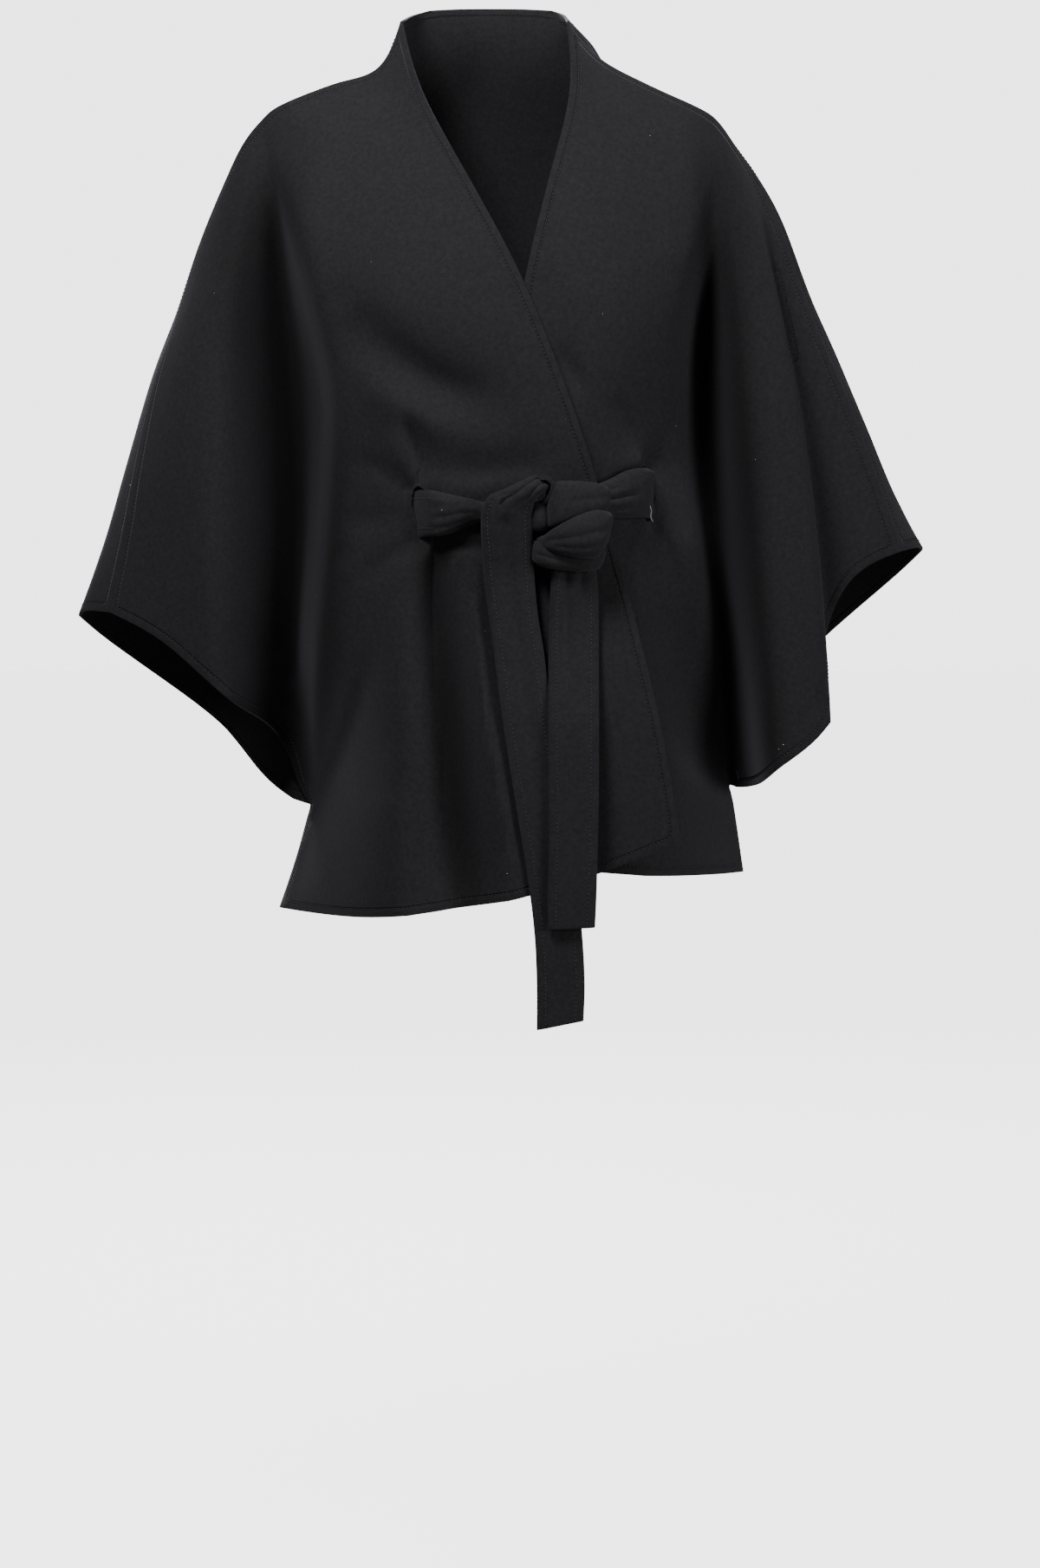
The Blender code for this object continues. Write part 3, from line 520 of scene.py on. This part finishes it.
def pull_lip(piece, lip):
    """Bend a slot's outer lip to the belt, and close the slot towards its ends."""
    places = points_of(piece.data)
    beside, along = slot_place(places, lip)
    share = np.clip((SLOT_HALF_HEIGHT - along) / (2 * SLOT_HALF_HEIGHT), 0, 1)
    curve = np.array(lip.curve) * MM
    spots = np.linspace(0, 1, len(curve))
    target_x = np.interp(share, spots, curve[:, 0])
    target_z = np.interp(share, spots, curve[:, 1])
    height = np.clip(along, -SLOT_HALF_HEIGHT, SLOT_HALF_HEIGHT)
    lip_x = lip.x * MM + lip.outward * SLOT_HALF_WIDTH * math.cos(lip.lean)
    lip_x = lip_x - height * math.sin(lip.lean)
    lip_z = lip.z * MM + height * math.cos(lip.lean)
    off_side = np.maximum(np.abs(beside) - SLOT_HALF_WIDTH, 0) / LIP_REACH
    off_end = np.maximum(np.abs(along) - SLOT_HALF_HEIGHT, 0) / LIP_REACH
    weight = np.exp(-off_side ** 2 - off_end ** 2) * (places[:, 1] < LIP_BEHIND)
    pinch = LIP_PINCH * np.abs(height / SLOT_HALF_HEIGHT) ** 3
    inner = np.clip(SLOT_HALF_WIDTH - beside, 0, 2 * SLOT_HALF_WIDTH)
    places[:, 0] += (target_x - lip_x + lip.outward * inner * pinch) * weight
    places[:, 2] += (target_z - lip_z) * weight
    set_points(piece.data, places)


def rim_points(piece, lip):
    """Points close together along the cut edges of a panel, its slot's apart."""
    mesh = bmesh.new()
    mesh.from_mesh(piece.data)
    found = []
    for edge in mesh.edges:
        if edge.calc_face_angle(0) > RIM_ANGLE:
            a, b = (vertex.co for vertex in edge.verts)
            count = max(1, int(edge.calc_length() / RIM_SPACING))
            found += [tuple(a.lerp(b, k / count)) for k in range(count + 1)]
    mesh.free()
    found = np.array(found)
    if lip is not None:
        beside, along = slot_place(found, lip)
        at_slot = (np.abs(beside) < 2 * SLOT_HALF_WIDTH) & (np.abs(along) < 1.3 * SLOT_HALF_HEIGHT)
        found = found[~at_slot]
    return found


def edge_distance(piece, rims):
    """Store on each point how far it is from the nearest cut edge."""
    tree = point_tree(rims)
    away = np.array([tree.find(vertex.co)[2] for vertex in piece.data.vertices])
    store(piece, "edge_distance", away)
    return away


def close_seams(piece, neighbour):
    """Draw a front's seams shut against the back, also where they part at the underarm."""
    places = points_of(piece.data)
    for i, place in enumerate(places):
        reach = UNDERARM_REACH if place[2] < UNDERARM_Z else SEAM_REACH
        nearest, _, _, gap = neighbour.find_nearest(Vector(place), reach)
        if nearest is not None and gap > SEWN_GAP:
            places[i] += (np.array(nearest) - place) * (1 - SEWN_GAP / gap)
    set_points(piece.data, places)


def panel(node, creases, inward, lip, neighbour):
    """One cut piece of wool: smoothed, sewn to its neighbour, creased, its rim rounded."""
    piece = node_copy(node, node + "_panel")
    crease_rims(piece)
    applied(piece, "SUBSURF", levels=SMOOTHING, render_levels=SMOOTHING)
    if neighbour is not None:
        close_seams(piece, neighbour)
    rims = rim_points(piece, lip)
    before = points_of(piece.data)
    press_creases(piece, creases, inward)
    if lip is not None:
        pull_lip(piece, lip)
    tree = point_tree(before)
    nearest = [tree.find(rim)[1] for rim in rims]
    rims = points_of(piece.data)[nearest] + rims - before[nearest]
    applied(piece, "BEVEL", limit_method="ANGLE", angle_limit=RIM_ANGLE, width=RIM_ROUNDING,
            segments=2)
    only(piece)
    bpy.ops.object.shade_smooth()
    return piece, edge_distance(piece, rims)


def strip_grid(table, pleats):
    """A strip's middle surface as a grid of points, arched and with its folds pressed in."""
    table = np.array(table, dtype=float)
    spans = np.sqrt(np.linalg.norm(np.diff(table[:, :6], axis=0), axis=1))
    rows = smooth_curve(table, np.concatenate(([0.0], np.cumsum(spans))), STRIP_STEPS)
    shares = np.linspace(0, 1, STRIP_ACROSS + 1)
    one = rows[:, None, 0:3] * MM
    other = rows[:, None, 3:6] * MM
    grid = one + (other - one) * shares[None, :, None]
    along = np.gradient(grid[:, STRIP_ACROSS // 2], axis=0)
    across = other[:, 0] - one[:, 0]
    widths = np.linalg.norm(across, axis=1)
    out = np.cross(along, across)
    out /= np.linalg.norm(out, axis=1)[:, None]
    arch = np.sqrt(np.clip(1 - (2 * shares - 1) ** 2, 0, 1))
    lift = rows[:, 6, None] * MM * arch[None, :]
    row = np.arange(len(rows)) / STRIP_STEPS
    for pleat in pleats:
        share = np.clip((row - pleat.row0) / (pleat.row1 - pleat.row0), 0, 1)
        middle = pleat.across0 + (pleat.across1 - pleat.across0) * share
        aside = (shares[None, :] - middle[:, None]) * widths[:, None]
        ends = np.clip(np.minimum(row - pleat.row0, pleat.row1 - row) / PLEAT_FADE, 0, 1)
        ends = ends * ends * (3 - 2 * ends)
        lift -= pleat.depth * MM * ends[:, None] * np.exp(-(aside / (pleat.reach * MM)) ** 2)
    return grid + out[:, None, :] * lift[:, :, None]


def piece_tree(piece):
    faces = [tuple(face.vertices) for face in piece.data.polygons]
    return BVHTree.FromPolygons([vertex.co for vertex in piece.data.vertices], faces)


def foremost(x, z, trees):
    """The foremost cloth at this place, seen from in front."""
    start = Vector((x, FAR_IN_FRONT, z))
    hits = [tree.ray_cast(start, Vector((0, 1, 0)))[0] for tree in trees]
    return min((hit for hit in hits if hit is not None), key=lambda hit: hit.y, default=None)


def lay_on(grid, trees):
    """Bring a hanging strip forward wherever the cloth behind it would be in its way."""
    shifts = np.zeros(len(grid))
    for i, row in enumerate(grid):
        for point in row[::2]:
            behind = foremost(point[0], point[2], trees)
            if behind is not None:
                room = behind.y - BELT_SHEET / 2 - LAY_GAP - point[1]
                shifts[i] = max(shifts[i], -room)
    around = [slice(max(0, i - LAY_SPREAD), i + LAY_SPREAD + 1) for i in range(len(grid))]
    wide = np.array([shifts[rows].max() for rows in around])
    eased = np.array([wide[rows].mean() for rows in around])
    grid[:, :, 1] -= np.maximum(eased, shifts)[:, None]


def strip_piece(name, grid, material):
    """A strip of the belt as a closed shell with rounded edges."""
    rows, columns = grid.shape[:2]
    faces = [(i * columns + j, i * columns + j + 1, (i + 1) * columns + j + 1,
              (i + 1) * columns + j) for i in range(rows - 1) for j in range(columns - 1)]
    mesh = bpy.data.meshes.new(name)
    mesh.from_pydata(grid.reshape(-1, 3).tolist(), [], faces)
    piece = linked(name, mesh)
    applied(piece, "SOLIDIFY", thickness=BELT_SHEET, offset=0, use_even_offset=True)
    applied(piece, "BEVEL", limit_method="ANGLE", angle_limit=RIM_ANGLE, width=STRIP_ROUNDING,
            segments=3)
    face_outward(piece)
    bpy.ops.object.shade_smooth()
    piece.data.materials.append(material)
    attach(piece, "root")
    return piece


def lengths_along(points):
    """How far along a line each of its points is."""
    return np.concatenate(([0.0], np.cumsum(np.linalg.norm(np.diff(points, axis=0), axis=1))))


def between(lengths, values, where):
    """A line's values at one distance along it, or at several."""
    return np.array([np.interp(where, lengths, values[:, axis]) for axis in range(3)]).T


def strip_seams(grid, first_row, last_row):
    """Lines for the topstitching along both edges of a strip, on its front and its back."""
    part = grid[first_row * STRIP_STEPS:last_row * STRIP_STEPS + 1]
    out = np.cross(np.gradient(part, axis=0), np.gradient(part, axis=1))
    out /= np.linalg.norm(out, axis=2)[:, :, None]
    lines = []
    for side in (1, -1):
        points = []
        ways = []
        for row, way in zip(part[:, ::side], out[:, ::side]):
            lengths = lengths_along(row)
            points.append(between(lengths, row, STITCH_INSET))
            ways.append(between(lengths, way, STITCH_INSET))
        points = np.array(points)
        ways = np.array(ways)
        lines.append((points + ways * BELT_SHEET / 2, ways))
        lines.append((points - ways * BELT_SHEET / 2, -ways))
    return lines


def face_outward(piece):
    """Turn all the faces of a closed piece outwards."""
    only(piece)
    bpy.ops.object.mode_set(mode="EDIT")
    bpy.ops.mesh.select_all(action="SELECT")
    bpy.ops.mesh.normals_make_consistent(inside=False)
    bpy.ops.object.mode_set(mode="OBJECT")


def stitches(name, lines, material):
    """Separate stitches along some lines.  A line: points, and the cloth's way out at each."""
    turns = np.arange(THREAD_SIDES) * 2 * math.pi / THREAD_SIDES
    verts = []
    faces = []
    for points, outs in lines:
        lengths = lengths_along(points)
        for start in np.arange(0, lengths[-1] - STITCH_LENGTH, STITCH_PITCH):
            spots = start + np.array((0, 0.5, 1)) * STITCH_LENGTH
            out = between(lengths, outs, spots)
            places = between(lengths, points, spots) + out * THREAD_LIFT[:, None] * THREAD
            way = places[-1] - places[0]
            way /= np.linalg.norm(way)
            side = np.cross(way, out[1])
            side /= np.linalg.norm(side)
            up = np.cross(side, way)
            first = len(verts)
            for place in places:
                verts += [tuple(place + (side * math.cos(turn) + up * math.sin(turn)) * THREAD)
                          for turn in turns]
            last = first + (len(places) - 1) * THREAD_SIDES
            for ring in range(first, last, THREAD_SIDES):
                for j in range(THREAD_SIDES):
                    a = ring + j
                    b = ring + (j + 1) % THREAD_SIDES
                    faces.append((a, b, b + THREAD_SIDES, a + THREAD_SIDES))
            faces.append(tuple(range(first, first + THREAD_SIDES))[::-1])
            faces.append(tuple(range(last, last + THREAD_SIDES)))
    mesh = bpy.data.meshes.new(name)
    mesh.from_pydata(verts, [], faces)
    mesh.shade_smooth()
    piece = linked(name, mesh)
    face_outward(piece)
    piece.data.materials.append(material)
    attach(piece, "root")
    return piece


def panel_seams(piece, away):
    """Lines over a panel, all at the topstitching's distance from its edges."""
    mesh = piece.data
    mesh.calc_loop_triangles()
    places = points_of(mesh)
    normals = np.empty(len(mesh.vertices) * 3)
    mesh.vertex_normals.foreach_get("vector", normals)
    normals = normals.reshape(-1, 3)
    crossing = {}
    ties = {}
    for triangle in mesh.loop_triangles:
        ids = triangle.vertices
        cut = []
        for a, b in ((ids[0], ids[1]), (ids[1], ids[2]), (ids[2], ids[0])):
            if (away[a] < STITCH_INSET) == (away[b] < STITCH_INSET):
                continue
            edge = (min(a, b), max(a, b))
            if edge not in crossing:
                share = (STITCH_INSET - away[edge[0]]) / (away[edge[1]] - away[edge[0]])
                crossing[edge] = (places[edge[0]] * (1 - share) + places[edge[1]] * share,
                                  normals[edge[0]] * (1 - share) + normals[edge[1]] * share)
            cut.append(edge)
        if len(cut) == 2:
            ties.setdefault(cut[0], []).append(cut[1])
            ties.setdefault(cut[1], []).append(cut[0])
    lines = []
    left = set(ties)
    while left:
        ends = [edge for edge in left if len(ties[edge]) == 1]
        edge = ends[0] if ends else next(iter(left))
        chain = []
        while edge is not None:
            left.discard(edge)
            chain.append(edge)
            edge = next((other for other in ties[edge] if other in left), None)
        if len(chain) > SEAM_SCRAP:
            points = np.array([crossing[edge][0] for edge in chain])
            lines.append((points, np.array([crossing[edge][1] for edge in chain])))
    return lines


def lint_specks(trees, material):
    """Small irregular tufts, each half sunk in the nap."""
    mesh = bmesh.new()
    for number, speck in enumerate(LINT):
        size = speck.size * MM
        place = foremost(speck.x * MM, speck.z * MM, trees)
        turn = Matrix.Rotation(number * LINT_TURN, 4, "Y")
        shape = Matrix.Diagonal((size, LINT_THICK, size * LINT_NARROW, 1))
        made = bmesh.ops.create_icosphere(mesh, subdivisions=2, radius=0.5,
                                          matrix=Matrix.Translation(place) @ turn @ shape)
        for vertex in made["verts"]:
            ripple = LINT_RIPPLE * math.sin(vertex.index * LINT_WAVE + number) * size
            vertex.co += (vertex.co - place).normalized() * ripple
    data = bpy.data.meshes.new("lint")
    mesh.to_mesh(data)
    mesh.free()
    piece = linked("lint", data)
    piece.data.materials.append(material)
    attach(piece, "root")


def loose_thread(trees, material):
    """A pale thread's end that sticks out of the left slot's lip."""
    points = [foremost(x * MM, z * MM, trees) - LOOSE_LIFT for x, z in LOOSE_THREAD]
    curve = bpy.data.curves.new("loose_thread", "CURVE")
    curve.dimensions = "3D"
    curve.bevel_depth = LOOSE_RADIUS
    curve.use_fill_caps = True
    spline = curve.splines.new("NURBS")
    spline.points.add(len(points) - 1)
    for knot, place in zip(spline.points, points):
        knot.co = (*place, 1)
    spline.order_u = 3
    spline.use_endpoint_u = True
    holder = linked("thread_curve", curve)
    mesh = bpy.data.meshes.new_from_object(holder)
    bpy.data.objects.remove(holder, do_unlink=True)
    piece = linked("loose_thread", mesh)
    piece.data.materials.append(material)
    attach(piece, "root")


def group_socket(group, name, kind, way, value=None):
    socket = group.interface.new_socket(name=name, in_out=way, socket_type="NodeSocket" + kind)
    if value is not None:
        socket.default_value = value
    return socket


class Nodes:
    """A node tree with short calls to add and join nodes."""

    def __init__(self, tree):
        self.tree = tree

    def add(self, kind, inputs=None, **settings):
        node = self.tree.nodes.new("ShaderNode" + kind)
        for name, value in settings.items():
            setattr(node, name, value)
        for socket, value in (inputs or {}).items():
            if isinstance(value, bpy.types.NodeSocket):
                self.tree.links.new(value, node.inputs[socket])
            else:
                node.inputs[socket].default_value = value
        return node

    def math(self, operation, a, b=0.0):
        return self.add("Math", {0: a, 1: b}, operation=operation).outputs[0]

    def shaded(self, colour, shade):
        """A colour times a grey shade."""
        grey = self.add("CombineXYZ", {0: shade, 1: shade, 2: shade}).outputs[0]
        return self.add("Mix", {6: colour, 7: grey, 0: 1.0},
                        data_type="RGBA", blend_type="MULTIPLY").outputs[2]

    def place(self):
        """The place on the piece itself."""
        return self.add("TexCoord").outputs["Object"]

    def noise(self, scale, detail, place, roughness=0.5):
        inputs = {"Scale": scale, "Detail": detail, "Vector": place, "Roughness": roughness}
        return self.add("TexNoise", inputs).outputs["Fac"]


def felt_group():
    """Felted nap: mottled tone, uneven sheen of lifted fibres, and the height of both."""
    group = bpy.data.node_groups.new("felt", "ShaderNodeTree")
    group_socket(group, "Tone", "Color", "INPUT", WOOL_BLACK)
    group_socket(group, "Fibre Scale", "Float", "INPUT", FIBRES)
    group_socket(group, "Place", "Vector", "INPUT")
    group_socket(group, "Color", "Color", "OUTPUT")
    group_socket(group, "Roughness", "Float", "OUTPUT")
    group_socket(group, "Height", "Float", "OUTPUT")
    nodes = Nodes(group)
    given = group.nodes.new("NodeGroupInput")
    place = given.outputs["Place"]
    fibres = nodes.noise(given.outputs["Fibre Scale"], 4.0, place, 0.7)
    tufts = nodes.noise(TUFTS, 3.0, place, 0.6)
    patches = nodes.noise(PATCHES, 3.0, place)
    height = nodes.math("ADD", nodes.math("MULTIPLY", fibres, 0.45),
                        nodes.math("MULTIPLY", tufts, 0.55))
    tone = nodes.math("ADD", height, nodes.math("MULTIPLY", patches, 0.12))
    shade = nodes.add("MapRange", {"Value": tone, "From Min": 0.40, "From Max": 0.75,
                                   "To Min": 0.70, "To Max": 1.40}).outputs[0]
    colour = nodes.shaded(given.outputs["Tone"], shade)
    roughness = nodes.add("MapRange", {"Value": patches, "To Min": 0.86, "To Max": 0.99}).outputs[0]
    out = group.nodes.new("NodeGroupOutput")
    group.links.new(colour, out.inputs["Color"])
    group.links.new(roughness, out.inputs["Roughness"])
    group.links.new(height, out.inputs["Height"])
    return group


def new_material(name):
    material = bpy.data.materials.new(name)
    material.use_nodes = True
    nodes = Nodes(material.node_tree)
    return material, nodes, material.node_tree.nodes["Principled BSDF"]


def wool_material(name, felt, tone, stitched):
    """Black felted wool.  A stitched one has the groove that its topstitching pulls in."""
    material, nodes, shader = new_material(name)
    links = material.node_tree.links
    nap = nodes.add("Group", node_tree=felt)
    nap.inputs["Tone"].default_value = tone
    links.new(nodes.place(), nap.inputs["Place"])
    height = nap.outputs["Height"]
    colour = nap.outputs["Color"]
    if stitched:
        away = nodes.add("Attribute", attribute_name="edge_distance").outputs["Fac"]
        offset = nodes.math("ABSOLUTE", nodes.math("SUBTRACT", away, STITCH_INSET))
        pull = nodes.add("MapRange", {"Value": offset, "From Max": GROOVE_REACH, "To Min": 1.0,
                                      "To Max": 0.0}, interpolation_type="SMOOTHSTEP").outputs[0]
        height = nodes.math("SUBTRACT", height, nodes.math("MULTIPLY", pull, GROOVE_DEPTH))
        # painted shade: the colour is darkened in the groove, in place of the shade that falls in
        # it
        groove_shade = nodes.math("SUBTRACT", 1.0, nodes.math("MULTIPLY", pull, GROOVE_PAINTED_SHADE))
        # painted shade of the deep valleys, stored on the panel, darkens the colour as well
        painted_shade = nodes.add("Attribute", attribute_name="painted_shade").outputs["Fac"]
        shade = nodes.math("MULTIPLY", groove_shade, nodes.math("SUBTRACT", 1.0, painted_shade))
        colour = nodes.shaded(colour, shade)
    bump = nodes.add("Bump", {"Height": height, "Distance": NAP_HEIGHT, "Strength": NAP_BUMP})
    links.new(colour, shader.inputs["Base Color"])
    links.new(nap.outputs["Roughness"], shader.inputs["Roughness"])
    links.new(bump.outputs["Normal"], shader.inputs["Normal"])
    shader.inputs["Specular IOR Level"].default_value = WOOL_GLOSS
    shader.inputs["Sheen Weight"].default_value = SHEEN
    shader.inputs["Sheen Roughness"].default_value = SHEEN_SPREAD
    shader.inputs["Sheen Tint"].default_value = SHEEN_TINT
    return material


def plain_material(name, colour, roughness):
    """One colour with a faintly uneven finish."""
    material, nodes, shader = new_material(name)
    grain = nodes.noise(6.0, 2.0, nodes.place())
    rough = nodes.add("MapRange", {"Value": grain, "To Min": roughness - 0.04,
                                   "To Max": roughness + 0.04}).outputs[0]
    material.node_tree.links.new(rough, shader.inputs["Roughness"])
    shader.inputs["Base Color"].default_value = colour
    return material


def floor_material():
    """Pale floor that meets the pale room without a line."""
    material = plain_material("pale_floor", FLOOR_GREY, 0.9)
    shader = material.node_tree.nodes["Principled BSDF"]
    seen = Nodes(material.node_tree).add("LightPath").outputs["Is Camera Ray"]
    material.node_tree.links.new(seen, shader.inputs["Emission Color"])
    shader.inputs["Emission Strength"].default_value = FLOOR_GLOW
    return material


def add_camera():
    half_view = math.atan(PICTURE_HEIGHT / 2 * PIXEL_SLOPE)
    camera = linked("camera", bpy.data.cameras.new("camera"))
    camera.data.sensor_fit = "VERTICAL"
    camera.data.sensor_height = SENSOR
    camera.data.lens = SENSOR / 2 / math.tan(half_view)
    camera.location = CAMERA_PLACE
    camera.rotation_euler = (math.pi / 2 - CAMERA_PITCH, 0, 0)
    bpy.context.scene.camera = camera


def add_light(light):
    lamp = linked(light.name, bpy.data.lights.new(light.name, "AREA"))
    lamp.data.shape = "DISK"
    lamp.data.size = light.size
    lamp.data.energy = light.power
    lamp.location = light.place
    way = Vector(light.target) - Vector(light.place)
    lamp.rotation_euler = way.to_track_quat("-Z", "Y").to_euler()


def add_studio():
    bpy.ops.object.select_all(action="DESELECT")
    bpy.ops.mesh.primitive_plane_add(size=FLOOR_SIZE, location=(0, 0, FLOOR_Z))
    floor = bpy.context.object
    floor.name = "floor"
    floor.data.materials.append(floor_material())
    world = bpy.data.worlds.new("studio")
    world.use_nodes = True
    nodes = Nodes(world.node_tree)
    seen = nodes.add("LightPath").outputs["Is Camera Ray"]
    glow = nodes.add("MapRange", {"Value": seen, "To Min": ROOM_LIGHT, "To Max": ROOM_SEEN})
    shader = world.node_tree.nodes["Background"]
    shader.inputs["Color"].default_value = (1, 1, 1, 1)
    world.node_tree.links.new(glow.outputs[0], shader.inputs["Strength"])
    bpy.context.scene.world = world
    for light in LIGHTS:
        add_light(light)


def main():
    add_camera()
    add_studio()
    felt = felt_group()
    wool = wool_material("black_wool", felt, WOOL_BLACK, stitched=True)
    strip = wool_material("belt_wool", felt, BELT_BLACK, stitched=False)
    thread = plain_material("sewing_thread", THREAD_BLACK, 0.8)
    panels = (
        ("back", BACK_CREASES, (), -1, (1.25, 0.90), 0.53, None),
        ("right_front", RIGHT_CREASES, RIGHT_PAINTED_SHADES, 1, (0.62, 0.86), 0.33, RIGHT_LIP),
        ("left_front", LEFT_CREASES, LEFT_PAINTED_SHADES, 1, (0.60, 0.84), 0.27, LEFT_LIP),
    )
    trees = []
    for node, creases, painted_shades, inward, cut, area, lip in panels:
        back_tree = trees[0] if trees else None
        piece, away = panel(node, creases, inward, lip, back_tree)
        piece.data.materials.append(wool)
        # painted shade of the deep valleys, kept on the panel for the wool's colour
        paint_valley_shade(piece, painted_shades)
        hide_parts(node)
        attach(piece, "root")
        sewn = stitches(node + "_topstitching", panel_seams(piece, away), thread)
        trees.append(piece_tree(piece))

    runs = (
        ("belt_run", "belt", BELT, BELT_PLEATS, (5, 20), "stretched", 0.82),
        ("belt_tail_long", "belt_end_long", LONG_TAIL, LONG_TAIL_PLEATS, (4, 17), "hung", 0.50),
        ("belt_tail_short", "belt_end_short", SHORT_TAIL, SHORT_TAIL_PLEATS, (1, 9), "hung",
         0.33),
    )
    behind = trees[1:]
    for name, node, table, pleats, sewn_rows, held, length in runs:
        grid = strip_grid(table, pleats)
        if held == "hung":
            lay_on(grid, behind)
        piece = strip_piece(name, grid, strip)
        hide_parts(node)
        sewn = stitches(name + "_topstitching", strip_seams(grid, *sewn_rows), thread)
        if held == "hung":
            behind.append(piece_tree(piece))
    turns = (
        ("knot_band", TOP_BAND, BAND_PLEATS, "knot_top", (0.031, 0.074)),
        ("knot_leaf", WRAP, WRAP_PLEATS, "knot_wrap", (0.030, 0.086)),
        ("knot_under", UNDER_FOLD, FOLD_PLEATS, "knot_fold", (0.017, 0.080)),
        ("knot_eye", KNOT_EYE, (), None, (0.023, 0.040)),
        ("knot_loop", KNOT_LOOP, (), None, (0.011, 0.037)),
    )
    for name, table, pleats, node, cut in turns:
        piece = strip_piece(name, strip_grid(table, pleats), strip)
        if node is not None:
            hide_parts(node)
    pale = plain_material("pale_lint", LINT_PALE, 0.9)
    trees.append(piece_tree(bpy.data.objects["belt_run"]))
    lint_specks(trees, pale)
    loose_thread(trees, pale)


main()
